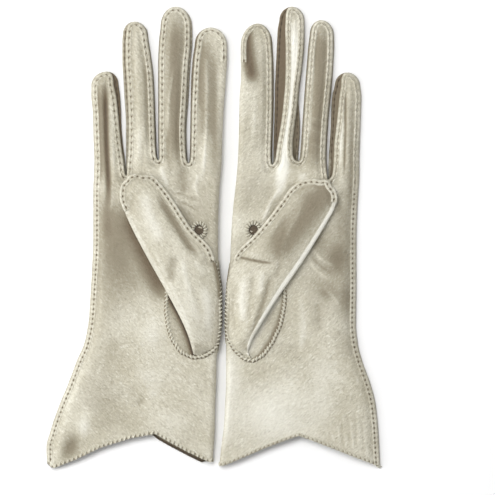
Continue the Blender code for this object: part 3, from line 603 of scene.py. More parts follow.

# %% [markdown]
# ## Folds of these two gloves
# Kid keeps the shape of the hand that wore it.  Each fold is a line with a width, a rise (below
# zero for a groove) and a tone, which is painted shade (below zero, a painted highlight); each dent,
# and each patch of painted shade or painted highlight, is an ellipse with the same two notes.

# %% Folds and patches
FOLDS = {
    "right": dict(
        strokes=[
            ([(-65.9, 96), (-65.1, 86.3), (-64.4, 57.7), (-63.2, 33.4), (-62.9, 21.3)], 1.5, -1.30, 2.50),
            ([(-68.6, 92.9), (-68, 59.5), (-67.7, 32.2)], 1.0, 0.35, -0.40),
            ([(-62.6, 91.1), (-61, 71.7), (-60.1, 53.5), (-59.8, 38.3)], 1.0, 0.45, -0.40),
            ([(-46.5, 123.3), (-45.9, 96), (-44.9, 71.7), (-44.6, 47.4)], 2.3, 0.30, -0.45),
            ([(-40.4, 114.2), (-39.8, 83.8), (-38.9, 53.5)], 1.6, -0.35, 0.60),
            ([(-41.9, 62.6), (-42.5, 40.1)], 1.0, -0.30, 0.35),
            ([(-22.2, 139.7), (-22.8, 108.1), (-22.8, 83.8), (-21.6, 40.1)], 5.2, 0.00, 1.30),
            ([(-23.4, 103.9), (-26.7, 84.4), (-27.9, 65.6)], 0.9, 0.35, -0.45),
            ([(-27, 66.8), (-27, 50.4), (-24.6, 35.2)], 1.2, -0.50, 0.45),
            ([(-17.9, 108.1), (-18.5, 77.7), (-19.1, 53.5)], 1.3, 0.25, -0.25),
            ([(-3.9, 114.2), (-3.6, 89.9), (-3.9, 65.6), (-5.2, 44.3), (-7, 32.2)], 1.3, 0.70, -0.65),
            ([(0.9, 117.2), (1.5, 83.8), (1.5, 32.2)], 2.7, -0.30, 0.75),
            ([(-7.9, 108.1), (-7.6, 77.7)], 1.2, -0.30, 0.35),
            ([(-31.9, 44.3), (-30.1, 38.9), (-27, 31)], 1.3, 0.60, -0.60),
            ([(-7.9, 40.1), (-10.6, 31.6), (-8.2, 24.3)], 1.3, 0.60, -0.55),
            ([(-19.1, 43.7), (-17.3, 25.5)], 3.6, -0.30, 0.60),
            ([(-24.6, 29.8), (-17.3, 27.3), (-9.4, 26.1)], 0.6, 0.40, -0.35),
            ([(-23.4, 25.5), (-16.1, 23.1), (-9.4, 19.4)], 0.6, 0.40, -0.30),
            ([(-19.7, 20.7), (-13.7, 17.6), (-7.6, 12.8)], 0.6, 0.40, -0.30),
            ([(-23.4, 27.9), (-16.1, 25.5), (-8.8, 23.1)], 0.6, -0.30, 0.40),
            ([(-21, 22.5), (-14.9, 20), (-8.2, 15.8)], 0.6, -0.30, 0.40),
            ([(-22.2, 20.7), (-12.5, 4.9)], 3.6, -0.20, 0.60),
            ([(-63.5, 30.4), (-64.1, 17), (-63.5, -1.2)], 3.0, -0.40, 0.50),
            ([(-61, 29.2), (-61.7, 15.8)], 0.9, 0.30, -0.30),
            ([(-68.3, 23.1), (-67.7, -13.4), (-68.3, -55.9)], 1.8, 0.20, -0.20),
            ([(-51.9, 19.4), (-44.6, -1.2), (-35.5, -21.3), (-27, -38.9)], 6.1, -0.50, 2.00),
            ([(-63.5, 26.1), (-56.2, -7.3), (-42.8, -37.7)], 9.1, -0.20, 0.55),
            ([(-3.9, -37.7), (-0.3, -55.9), (-0.3, -98.4)], 2.4, 0.00, -0.15),
            ([(-92.6, -110.5), (-85.3, -95.4), (-78.1, -77.1)], 2.4, 0.20, -0.25),
            ([(-68.9, 96), (-68.9, 29.2)], 3.0, 0.00, 0.60),
            ([(-45.9, 126.3), (-45.3, 59.5)], 5.5, 0.00, 0.45),
            ([(-5.2, 126.3), (-3.9, 53.5)], 4.9, 0.00, 1.10),
            ([(-69.5, 96), (-68.9, 32.2)], 3.0, 0.00, 1.00)],
        patches=[
            (-61, -69.2, 9.7, 12.1, 0, -0.30, 0.25), (-36.1, -58.9, 5.5, 7.9, 0, 0.30, -0.35),
            (-38, -85, 7.9, 6.1, -20, 0.40, -0.30), (-43.4, -99.6, 2.7, 1.8, 35, -0.70, 0.50),
            (-36.7, -94.1, 3.6, 2.4, 0, 0.40, -0.35), (-85.9, -126.9, 4.9, 8.5, -30, -1.10, 1.30),
            (-70.2, -132.4, 5.5, 2.4, -20, -0.30, 0.35), (-78.7, -115.4, 4.3, 8.5, -15, 0.60, -0.70),
            (-92.6, -130, 2.4, 4.9, 0, 0.50, -0.40), (-57.4, -113.6, 13.4, 8.5, 0, -0.20, 0.15),
            (-7.6, -86.3, 10.9, 12.1, 0, 0.10, 0.12), (-56.2, -55.9, 8.5, 5.5, 30, 0.20, -0.20),
            (-22.2, -110.5, 10.9, 6.1, 0, 0.30, -0.25), (-13.7, -122.7, 7.3, 3.6, 25, -0.30, 0.20),
            (-98.7, -136.1, 2.4, 3.0, 0, 1.60, -0.50), (-63.5, -14.6, 13.4, 36.4, 0, 0.00, 0.80),
            (-68.3, -95.4, 13.4, 15.2, 0, 0.00, 0.45), (-7.6, 14, 15.2, 24.3, 0, 0.00, 0.35),
            (-38, -62, 12.1, 15.2, 0, 0.00, -0.10)],
        thumb_strokes=[
            ([(-34.3, 26.7), (-26.4, 14.6), (-19.7, 3.6), (-13.7, -5.5), (-7.6, -12.8)], 2.3, -0.90, 1.25),
            ([(-42.2, 29.2), (-38.6, 14.6), (-30.1, -3.6)], 3.6, 0.30, -0.55),
            ([(-2.7, -1.2), (2.1, -18.2), (4.3, -31.6), (4.3, -52.8)], 1.3, -0.80, 1.50),
            ([(-23.4, -9.7), (-25.8, -27.9)], 3.0, -0.40, 0.70),
            ([(-19.1, -12.1), (-16.1, -22.5), (-12.5, -33.4)], 1.9, 0.40, -0.50),
            ([(-16.1, -19.4), (-9.4, -36.4), (-5.8, -48.6)], 1.8, -0.40, 0.30),
            ([(-4.6, -28.5), (-2.1, -43.7), (-3.3, -57.1)], 2.4, 0.30, -0.45),
            ([(-38, -1.2), (-28.2, -22.5), (-17.3, -44.9), (-10, -65)], 0.9, 0.20, -0.35),
            ([(-10, -14.6), (-4.6, -22.5)], 2.4, 0.30, -0.25)],
        thumb_patches=[
            (-8.2, -65.6, 4.9, 1.8, 0, -0.30, 0.40), (-48.9, 23.1, 2.4, 4.3, 0, -0.40, 0.40),
            (-4.6, -14.6, 3.0, 2.4, -30, -0.30, 0.30), (-12.5, -43.7, 8.5, 10.9, 0, 0.00, -0.35)],
    ),
    "left": dict(
        strokes=[
            ([(-20.3, 130), (-21.6, 114.2), (-24.6, 93.5)], 3.6, -0.30, 2.30),
            ([(-30.1, 125.1), (-30.7, 96), (-30.7, 65.6)], 2.1, 0.50, -0.10),
            ([(-20.3, 83.8), (-19.1, 62.6), (-17.3, 44.3)], 2.7, 0.00, 0.15),
            ([(-26.4, 89.9), (-25.2, 59.5)], 1.3, 0.30, -0.30),
            ([(-49.5, 132.4), (-48.6, 102), (-46.8, 77.7), (-43.4, 53.5), (-40.4, 23.1)], 3.6, 0.30, -1.70),
            ([(-45.3, 137.9), (-51.3, 133.6)], 3.6, 0.00, 0.50),
            ([(-65.9, 134.8), (-65.3, 96), (-64.1, 71.7), (-60.4, 38.3)], 5.2, 0.00, 1.25),
            ([(-61, 111.2), (-59.8, 83.8), (-58.6, 59.5)], 1.2, 0.30, -0.45),
            ([(-69.5, 108.1), (-68.9, 77.7), (-66.5, 53.5)], 1.1, 0.30, -0.35),
            ([(-60.4, 72.9), (-68.3, 71.1)], 0.6, 0.35, -0.40),
            ([(-59.8, 65.6), (-68.3, 63.2)], 0.6, 0.35, -0.35),
            ([(-59.2, 57.7), (-67.1, 54.7)], 0.6, 0.35, -0.35),
            ([(-60.4, 69.2), (-68.3, 66.8)], 0.6, -0.30, 0.35),
            ([(-77.7, 91.1), (-78.1, 65.6), (-76.8, 41.3)], 1.3, 0.35, -0.60),
            ([(-80.8, 93.5), (-80.8, 65.6), (-79.9, 36.4)], 0.7, -0.70, 1.40),
            ([(-84.1, 92.9), (-84.4, 53.5), (-83.5, 14)], 2.7, 0.00, 0.65),
            ([(-30.1, 9.7), (-36.1, 23.1), (-42.2, 31.6)], 1.3, 0.60, -0.55),
            ([(-33.1, 7.3), (-39.2, 20.7), (-45.9, 29.2)], 1.3, -0.40, 0.40),
            ([(-54.4, 40.1), (-55.6, 31.6)], 3.0, 0.40, -0.55),
            ([(-48.3, 34), (-47.7, 25.5)], 2.7, -0.30, 0.45),
            ([(-26.4, 40.1), (-22.8, 29.2), (-19.7, 14)], 2.4, 0.00, 0.20),
            ([(-78.1, 29.2), (-76.2, 14)], 1.8, -0.30, 0.45),
            ([(-71.4, 35.2), (-80.5, 20)], 1.2, 0.30, -0.35),
            ([(-61, -7.3), (-66.5, -13.4), (-75, -17.6)], 0.9, 0.40, -0.45),
            ([(-58.6, -14.6), (-64.1, -20.7), (-71.4, -25.5)], 0.9, 0.40, -0.40),
            ([(-59.8, -10.9), (-65.9, -17.6), (-73.2, -21.9)], 0.9, -0.35, 0.40),
            ([(-65.3, -27.3), (-73.2, -35.2), (-78.7, -43.7)], 1.0, 0.35, -0.35),
            ([(-53.1, -31.6), (-55.6, -52.8), (-53.1, -71.1)], 2.1, 0.20, -0.40),
            ([(-62.9, -37.7), (-65.3, -58.9)], 3.0, -0.30, 0.35),
            ([(-11.2, -65), (-9.4, -98.4), (-7, -131.8)], 2.4, 0.10, -0.45),
            ([(-76.2, -113), (-77.4, -130)], 0.5, 0.25, -0.25),
            ([(-79.3, -105.7), (-81.7, -131.8)], 0.5, 0.20, -0.20),
            ([(-84.1, -109.3), (-85.9, -133)], 0.5, 0.25, -0.25),
            ([(-88.4, -103.9), (-90.2, -134.2)], 0.5, 0.20, -0.20),
            ([(-92, -113.6), (-94.5, -135.5)], 0.5, 0.25, -0.25),
            ([(-78.1, -106.9), (-79.9, -130)], 0.6, -0.20, 0.25),
            ([(-81.7, -105.7), (-84.1, -132.4)], 0.6, -0.20, 0.25),
            ([(-85.9, -106.3), (-88.4, -133.6)], 0.6, -0.20, 0.25),
            ([(-90.2, -108.7), (-92.6, -134.8)], 0.6, -0.20, 0.25),
            ([(-30.1, 120.3), (-31.3, 53.5)], 4.3, 0.00, 0.40)],
        patches=[
            (-76.2, -12.1, 6.1, 8.5, 0, -0.30, 0.90), (-81.1, -37.7, 4.9, 10.9, 0, -0.20, 0.70),
            (-68.9, -32.8, 5.5, 4.9, 30, -0.30, 0.60), (-62.9, -1.2, 5.5, 7.3, 0, 0.20, 0.60),
            (-79.3, 9.7, 6.1, 13.4, 0, 0.20, 0.60), (-34.9, -107.5, 24.3, 18.2, 0, 0.20, -0.60),
            (-47.1, -69.2, 9.7, 6.1, 15, -0.30, 0.30), (-54.4, -83.8, 6.1, 8.5, 0, -0.20, 0.30),
            (-30.1, -81.4, 10.9, 4.9, 10, 0.20, 0.20), (-71.4, -80.2, 7.3, 10.9, 0, 0.20, -0.15),
            (-53.1, -127.6, 7.3, 4.3, 0, 0.20, -0.30), (-13.7, -86.3, 3.6, 18.2, 0, 0.10, -0.30),
            (-80.5, -65, 4.9, 9.7, -20, -0.20, 0.35), (-66.5, -101.4, 8.5, 12.1, 0, -0.10, -0.30),
            (-33.7, -130, 12.1, 3.6, -15, 0.00, -0.20), (-71.4, -19.4, 18.2, 27.3, 0, 0.00, 0.50),
            (-59.2, -81.4, 15.2, 9.7, 0, 0.00, -0.30), (-30.1, 29.2, 15.2, 9.7, 0, 0.00, 0.35),
            (-77.4, 68.6, 3.0, 24.3, 0, 0.00, -0.30), (-48.3, 102, 3.6, 33.4, 0, 0.00, -0.40)],
        thumb_strokes=[
            ([(-76.2, 38.3), (-53.1, 9.7), (-33.7, -14.6)], 9.1, 0.00, 1.30),
            ([(-55, 20.7), (-45.9, 3.6), (-39.8, -10.9)], 2.1, 0.40, -0.40),
            ([(-45.3, 14), (-36.1, -1.2)], 1.8, -0.40, 0.35),
            ([(-75.6, 18.8), (-62.9, -1.2), (-46.5, -26.7), (-33.7, -48.6), (-22.8, -68)], 1.0, 0.15, -1.60),
            ([(-13.1, -10.9), (-22.8, -13.1), (-30.1, -14.6), (-36.7, -15.2)], 0.7, -0.90, 1.60),
            ([(-16.7, -7.9), (-30.1, -10.9)], 1.2, 0.50, -0.20),
            ([(-19.1, -23.1), (-17.3, -37.7), (-18.5, -51)], 1.8, 0.50, -0.50),
            ([(-24.6, -20.7), (-23.4, -37.7), (-22.2, -52.8)], 1.3, -0.50, 0.45),
            ([(-30.1, -19.4), (-28.9, -35.2)], 2.1, 0.50, -0.45),
            ([(-36.1, -20.7), (-31.3, -37.7), (-25.2, -55.9), (-21, -65)], 1.7, -0.60, 0.90),
            ([(-41, -14.6), (-38.6, -25.5)], 1.8, -0.40, 0.45),
            ([(-13.7, -28.5), (-11.8, -43.7), (-14.3, -57.1)], 1.0, -0.50, 0.35),
            ([(-44, 7.9), (-38.6, -14.6)], 1.8, 0.00, 0.30)],
        thumb_patches=[
            (-56.2, 26.1, 7.3, 4.9, 40, 0.00, 0.20), (-19.7, -65, 3.6, 3.0, 30, -0.40, 0.60),
            (-66.5, 30.4, 4.9, 3.0, 0, 0.20, -0.20), (-20.3, -40.7, 5.5, 12.1, 0, 0.00, -0.30)],
    ),
}


# %% [markdown]
# ## Making the mesh
# The sheets get a thickness: a second layer inside, joined round the raw edges but left open where
# a finger's leather carries on from the hand's.

# %% Mesh helpers
KID_THICK = 0.6         # mm
SAME_SPOT = 0.002       # points closer than this (mm) become one


def grid_faces(n, m, start=0, ring=False):
    r, c = np.meshgrid(np.arange(n - 1), np.arange(m if ring else m - 1), indexing='ij')
    d = (c + 1) % m
    return (np.stack([r * m + c, r * m + d, (r + 1) * m + d, (r + 1) * m + c], -1).reshape(-1, 4) + start)


class Heap:
    """Collects sheets and tubes into one piece."""
    def __init__(self):
        self.points, self.tones, self.faces, self.slots, self.count = [], [], [], [], 0

    def add(self, points, faces, tone=0.0, slot=0):
        points = np.asarray(points, float).reshape(-1, 3)
        tone = np.broadcast_to(np.asarray(tone, float).reshape(-1), (len(points),)) if np.size(tone) > 1 \
            else np.full(len(points), float(tone))
        self.points.append(points)
        self.tones.append(tone)
        self.faces.append(np.asarray(faces) + self.count)
        self.slots.append(np.full(len(faces), slot))
        self.count += len(points)


def welded(heap):
    """Joins points that lie on each other, so that the strips become one sheet."""
    P, T = np.concatenate(heap.points), np.concatenate(heap.tones)
    keys = np.round(P / SAME_SPOT).astype(np.int64)
    _, first, where = np.unique(keys, axis=0, return_index=True, return_inverse=True)
    where = where.reshape(-1)
    faces = [where[f] for f in heap.faces]
    return P[first], T[first], np.concatenate(faces), np.concatenate(heap.slots)


def face_normals(P, F):
    return np.cross(P[F[:, 2]] - P[F[:, 0]], P[F[:, 3]] - P[F[:, 1]])


def point_normals(P, F):
    n = np.zeros_like(P)
    fn = face_normals(P, F)
    for c in range(4):
        np.add.at(n, F[:, c], fn)
    return n / np.maximum(np.linalg.norm(n, axis=1, keepdims=True), 1e-9)


def thickened(P, T, F, S, open_edge):
    """Adds the inner side of the leather and its raw edges, except along open_edge points."""
    inner = P - point_normals(P, F) * KID_THICK
    n = len(P)
    edges = np.concatenate([F[:, [i, (i + 1) % 4]] for i in range(4)])
    slot = np.tile(S, 4)
    key = np.sort(edges, 1)
    _, first, count = np.unique(key, axis=0, return_index=True, return_counts=True)
    rim = edges[first[count == 1]]
    rim_slot = slot[first[count == 1]]
    keep = ~(open_edge[rim[:, 0]] & open_edge[rim[:, 1]])
    rim, rim_slot = rim[keep], rim_slot[keep]
    walls = np.stack([rim[:, 1], rim[:, 0], rim[:, 0] + n, rim[:, 1] + n], -1)
    # the inner side is darker: its suede face, and painted shade inside the glove
    return (np.concatenate([P, inner]), np.concatenate([T, T + 0.5]),
            np.concatenate([F, F[:, ::-1] + n, walls]), np.concatenate([S, S, rim_slot]))


def make(pattern, name, P, T, F, S, materials):
    """Turns pattern points (mm) into an object lying in its place."""
    P = np.asarray(P, float)
    world_points = np.stack([(pattern.sign * P[:, 0] + CENTRE[0]) * MM, (P[:, 1] + CENTRE[1]) * MM,
                             P[:, 2] * MM], -1)
    F = np.asarray(F)
    if pattern.sign < 0:
        F = F[:, ::-1]
    mesh = bpy.data.meshes.new(name)
    mesh.from_pydata(world_points.tolist(), [], F.tolist())
    place = mesh.attributes.new("place", 'FLOAT_VECTOR', 'POINT')
    place.data.foreach_set("vector", (P + (0, 0, 40.0 * pattern.sign)).astype(np.float32).ravel())
    tone = mesh.attributes.new("tone", 'FLOAT', 'POINT')
    tone.data.foreach_set("value", np.asarray(T, np.float32))
    for material in materials:
        mesh.materials.append(material)
    mesh.polygons.foreach_set("material_index", np.asarray(S, np.int32))
    mesh.polygons.foreach_set("use_smooth", np.ones(len(F), bool))
    mesh.update()
    obj = bpy.data.objects.new(name, mesh)
    bpy.context.scene.collection.objects.link(obj)
    return obj


# %% [markdown]
# ## The leather of the hand and the fingers
# A finger's own piece starts a little below the line where it bends, and follows the hand there.

# %% Leather sheets
BLEND = {"pinky": (38.5, 50.0), "ring": (47.0, 58.0), "middle": (47.0, 58.0), "index": (47.0, 58.0)}


def seam_tree(pattern):
    """Looks up the distance from any point to the nearest seam of the palm."""
    return flat_tree(palm_seam(pattern)[0])


def flat_tree(points):
    tree = kdtree.KDTree(len(points))
    for i, p in enumerate(points):
        tree.insert((p[0], p[1], 0.0), i)
    tree.balance()
    return tree


def outline_path(pattern, layer):
    """Outline of a layer from the cuff's outer corner round every finger to the forefinger."""
    pts, tags = [], []
    start = pattern.spec["hem"][0][1]
    for k in range(4):
        low = start + 1.0 if k == 0 else pattern.crotch[k - 1][1]
        ys = np.arange(low, pattern.last[k], 0.6)
        left, _ = pattern.edges(k, ys, layer)
        pts += list(zip(left, ys))
        tags += [k] * len(ys)
        qs = np.sin(np.linspace(0, math.pi / 2, 18))
        for q in qs:
            a, b, y = pattern.tip_edges(k, q, layer)
            pts.append((float(a), float(y)))
            tags.append(k)
        for q in qs[::-1][1:]:
            a, b, y = pattern.tip_edges(k, q, layer)
            pts.append((float(b), float(y)))
            tags.append(k)
        low = pattern.crotch[k][1] if k < 3 else pattern.last[3] - 10.0
        ys = np.arange(pattern.last[k], low, -0.6)[1:]
        _, right = pattern.edges(k, ys, layer)
        pts += list(zip(right, ys))
        tags += [k] * len(ys)
    return np.array(pts, float), np.array(tags)


def even(points, step, tags=None, closed=False):
    """Spaces the points of a line evenly."""
    P = np.vstack([points, points[:1]]) if closed else points
    d = np.concatenate([[0], np.cumsum(np.linalg.norm(np.diff(P, axis=0), axis=1))])
    n = max(3, int(d[-1] / step))
    at = np.linspace(0, d[-1], n + (0 if closed else 1), endpoint=not closed)
    out = np.stack([np.interp(at, d, P[:, c]) for c in range(P.shape[1])], -1)
    if tags is None:
        return out
    tg = np.concatenate([tags, tags[:1]]) if closed else tags
    return out, tg[np.clip(np.searchsorted(d, at, side='right') - 1, 0, len(tg) - 1)]


def soften(values, times=3, closed=False):
    v = np.array(values, float)
    for _ in range(times):
        if closed:
            v = 0.25 * np.roll(v, 1, 0) + 0.5 * v + 0.25 * np.roll(v, -1, 0)
        else:
            v[1:-1] = 0.25 * v[:-2] + 0.5 * v[1:-1] + 0.25 * v[2:]
    return v


def directions(path, closed=False):
    t = np.roll(path, -1, 0) - np.roll(path, 1, 0) if closed else np.gradient(path, axis=0)
    return t / np.maximum(np.linalg.norm(t, axis=1, keepdims=True), 1e-9)


def drawn_in(points, tags, amount, step=0.5):
    """The line moved into the leather, which lies on its right."""
    pts, tags = even(points, step, tags)
    t = directions(soften(pts, 2))
    moved = pts + np.stack([t[:, 1], -t[:, 0]], -1) * amount
    moved = soften(moved, 4)
    pts, tags = even(moved, step, tags)
    return pts, tags


def palm_seam(pattern):
    return drawn_in(*outline_path(pattern, "palm"), WELT_IN)


def back_seam(pattern):
    return drawn_in(*outline_path(pattern, "back"), WELT_IN)


def build_leather(pattern):
    """The sheets of one glove for the hand and each finger: leather, side strips and a cloud of
    palm points that the seams lie on later."""
    folds = FOLDS[pattern.name]
    tree = seam_tree(pattern)
    leather = [Heap() for _ in range(5)]
    strips = [Heap() for _ in range(5)]
    cloud = []
    for k, finger in enumerate(FINGERS):
        rows = pattern.rows(k)
        flat = np.linspace(0, 1, ACROSS)
        if k == 3:
            arc = np.linspace(0, math.pi, 2 * ARC + 1)[1:-1]
            ts = np.concatenate([flat, np.ones(len(arc)), flat[::-1]])
            phis = np.concatenate([np.zeros(ACROSS), arc, np.full(ACROSS, math.pi)])
            sheets = [(ts, phis, "palm", pattern.spec["back_hem"] * (phis > 3.0))]
        else:
            sheets = [(flat, np.zeros(ACROSS), "palm", 0.0),
                      (flat[::-1], np.full(ACROSS, math.pi), "back", pattern.spec["back_hem"])]
        split = next(i for i, (kind, v) in enumerate(rows) if kind == "y" and v >= BLEND[finger][0])
        for ts, phis, layer, slip in sheets:
            X, Y, Q, L, R = pattern.lay(k, layer, rows, ts, phis, slip)
            wide = np.maximum(R - L, 0.1)
            share = np.clip((X - L) / wide, 0, 1)
            palm = pattern.palm_height(k, X, Y, Q, share)
            rise, painted_shade = relief(X, Y, folds["strokes"], folds["patches"])
            gap = np.array([tree.find((x, y, 0.0))[2] for x, y in zip(X.ravel(), Y.ravel())]).reshape(X.shape)
            calm = ease(gap, 0.5, 4.0)
            soft = (0.30 * ripple(X, Y, 22, 11, 20, 5) + 0.16 * ripple(X, Y, 9, 4, 160, 7)
                    + 0.08 * ripple(X, Y, 5, 2, 25, 9))
            palm = palm + rise * ease(gap, 0.3, 2.5) + soft * calm - 0.45 * np.exp(-((gap - 3.0) / 1.0) ** 2)
            back = BACK_Z + 0.9 * np.exp(-gap / 1.6) + 0.12 * (1 + ripple(X, Y, 16, 8, 70, 11)) * calm
            if phis[0] == 0:
                seen = ACROSS + (ARC if k == 3 else 0)
                Z = 0.5 * (palm + back) + 0.5 * (palm - back) * np.cos(phis)[None, :]
                cloud.append(np.stack([X, Y, Z], -1)[:, :seen].reshape(-1, 3))
            palm = palm - SEAM_DIP * (1 - ease(gap, 1.3, 2.3))
            Z = 0.5 * (palm + back) + 0.5 * (palm - back) * np.cos(phis)[None, :]
            # painted shade from the folds on the palm side, and in the valley beside each seam
            tone = painted_shade * (phis < 1.6)[None, :] + 0.16 * np.exp(-((gap - 3.0) / 1.1) ** 2)
            # painted shade on the back's hem where it shows below the palm's
            tone[:3] += np.asarray(slip > 0) * (phis > 3.0)[None, :] * 2.6 * np.array([[1.0], [0.9], [0.6]])
            P = np.stack([X, Y, Z], -1)
            m = len(ts)
            leather[0].add(P[:split + 1], grid_faces(split + 1, m), tone[:split + 1])
            leather[k + 1].add(P[split:], grid_faces(len(rows) - split, m), tone[split:])
            pattern.hem_rows.append((k, layer, P[0], P[2]))
        for side in (0, 1):
            if (k == 0 and side == 0) or (k == 3 and side == 1):
                continue
            cy = pattern.crotch[k - 1 if side == 0 else k][1]
            first = next(i for i, (kind, v) in enumerate(rows) if kind == "y" and v >= cy - 1e-6)
            own_rows = rows[first:]
            n = len(own_rows)
            one = np.array([float(side)])
            _, Yp, Qp, Lp, Rp = pattern.lay(k, "palm", own_rows, one, np.zeros(1))
            _, _, _, Lb, Rb = pattern.lay(k, "back", own_rows, one, np.zeros(1))
            edge_p, edge_b = (Lp, Lb) if side == 0 else (Rp, Rb)
            into = 1.0 if side == 0 else -1.0
            zp = pattern.palm_height(k, edge_p, Yp, Qp, np.full(edge_p.shape, float(side)))
            c = np.linspace(0, 1, 8)[None, :]
            room = np.minimum(1.0, (Rp - Lp) / 8.0)
            X = (edge_p * (1 - c) + edge_b * c) + into * (0.55 + 1.0 * np.sin(math.pi * c)) * room
            Z = (zp - 0.35) * (1 - c) + 1.3 * c + 0 * X
            P = np.stack([X, Yp + 0 * c, Z], -1)
            # painted shade on the side strips between the fingers, darkest in their middle
            tone = pattern.spec["strip_shades"][k][side] + 0.3 * np.sin(math.pi * c) + 0 * X
            cut = max(0, split - first)
            turn = (lambda f: f[:, ::-1]) if side == 1 else (lambda f: f)
            if cut > 0:
                strips[0].add(P[:cut + 1], turn(grid_faces(cut + 1, 8)[:, ::-1]), tone[:cut + 1])
            strips[k + 1].add(P[cut:], turn(grid_faces(n - cut, 8)[:, ::-1]), tone[cut:])
    return leather, strips, np.concatenate(cloud)


def finished(heap, open_edge=lambda P: np.zeros(len(P), bool)):
    """Welds a heap, adds its inner side and its raw edges (none along open_edge); returns a new heap."""
    P, T, F, S = welded(heap)
    P, T, F, S = thickened(P, T, F, S, open_edge(P))
    out = Heap()
    out.points, out.tones, out.faces, out.slots, out.count = [P], [T], [F], [S], len(P)
    return out


def hand_split(pattern):
    """Marks the points where the hand's sheets go on into a finger's."""
    def mark(P):
        line = np.zeros(len(P), bool)
        for j, finger in enumerate(FINGERS):
            y = BLEND[finger][0]
            left, right = pattern.edges(j, np.array(y + 0.4))
            line |= (P[:, 1] >= y - 0.01) & (P[:, 0] > left - 5) & (P[:, 0] < right + 5)
        return line
    return mark


def finger_split(P):
    return P[:, 1] <= P[:, 1].min() + 0.01


for pattern in PATTERNS:
    leather, strips, pattern.cloud = build_leather(pattern)
    for k in range(5):
        mark = hand_split(pattern) if k == 0 else finger_split
        leather[k] = finished(leather[k], mark)
        strips[k] = finished(strips[k], mark)
    pattern.leather, pattern.strips = leather, strips
    pattern.threads = [Heap() for _ in range(5)]
    print(pattern.name, [h.count for h in leather], [h.count for h in strips])

# %% [markdown]
# ## Seams
# The edges are laid together with the rough sides in and sewn close to the edge, so each seam
# shows from outside: a lip, a groove with the stitches and their holes, and a soft ridge beyond
# it.  A seam here is a narrow strip whose section is drawn once and carried along a guide line.

# %% Seam strips and stitches
# each point of a seam's section: across and up (mm), and a tone that is painted shade in the groove and under
# the lips and a painted highlight on the lips
PALM_LIP = [(0.45, -0.85, 0.5), (0.02, -0.65, 0.35), (-0.12, -0.22, 0.1), (0.04, 0.16, -0.1),
            (0.4, 0.38, -0.25),
            (0.9, 0.42, -0.1), (1.35, 0.28, 0.15), (1.62, 0.02, 0.45), (1.85, -0.12, 0.6), (2.1, 0.03, 0.35),
            (2.42, 0.26, -0.05), (2.8, 0.24, 0.0), (3.2, 0.02, 0.1), (3.6, -0.35, 0.15)]
BACK_LIP = [(2.3, 1.35, 0.9), (1.6, 1.75, 0.6), (0.9, 1.9, 0.1), (0.3, 1.78, 0.0), (-0.05, 1.3, 0.1),
            (0.1, 0.6, 0.3), (0.5, 0.22, 0.0), (1.1, 0.10, 0.1), (1.6, 0.32, 0.4), (1.9, 0.45, 0.6),
            (2.2, 0.30, 0.3), (2.7, 0.14, 0.0), (3.4, 0.55, 0.1)]


class Ground:
    """Looks up the height of the leather under any point."""
    def __init__(self, cloud):
        self.z = cloud[:, 2]
        self.tree = flat_tree(cloud)

    def __call__(self, x, y):
        out = np.zeros(np.shape(x))
        flat = out.ravel()
        for i, (a, b) in enumerate(zip(np.ravel(x), np.ravel(y))):
            found = self.tree.find_n((a, b, 0.0), 5)
            w = np.array([1.0 / (f[2] + 0.15) ** 2 for f in found])
            flat[i] = float((w * self.z[[f[1] for f in found]]).sum() / w.sum())
        return flat.reshape(np.shape(x))


def seam_strip(path, section, ground, pitch, inset, up=1.0, closed=False, hole=1.0, follow=True):
    """Points and tones of a strip carried along a path (x, y), which runs with its leather on the right."""
    t = directions(path, closed)
    inward = np.stack([t[:, 1], -t[:, 0]], -1)
    s = np.array([p[0] for p in section]) - inset
    X = path[:, None, 0] + inward[:, None, 0] * s
    Y = path[:, None, 1] + inward[:, None, 1] * s
    run = np.concatenate([[0], np.cumsum(np.linalg.norm(np.diff(path, axis=0), axis=1))])
    u = (run / pitch) % 1.0
    uneven = np.random.default_rng(17).uniform(0.65, 1.25, 4000)[(run / pitch).astype(int) % 4000]
    holes = (uneven * np.exp(-((u - 0.5) / 0.19) ** 2))[:, None]
    groove = np.exp(-((s + inset - 1.85) / 0.36) ** 2)[None, :] * hole
    beads = np.cos(2 * math.pi * u)[:, None] * np.exp(-((s + inset - 2.55) / 0.4) ** 2)[None, :]
    lip = np.cos(2 * math.pi * u)[:, None] * np.exp(-((s + inset - 0.6) / 0.5) ** 2)[None, :]
    Z = ground(X, Y) if follow else np.zeros(X.shape)
    Z = Z + np.array([p[1] for p in section])[None,
                                              :] - up * holes * groove * 0.28 + up * (0.08 * beads + 0.05 * lip)
    # painted shade in the stitch holes, and a painted highlight on the beads and the lip
    tone = np.array([p[2] for p in section])[None, :] + holes * groove * 2.6 - 0.3 * beads - 0.2 * lip
    return np.stack([X, Y, Z], -1), tone, run, inward


def runs(owner):
    """Stretches of equal owner along a path, each overlapping the next by one point."""
    start = 0
    for i in range(1, len(owner) + 1):
        if i == len(owner) or owner[i] != owner[start]:
            yield owner[start], start, min(i + 1, len(owner))
            start = i


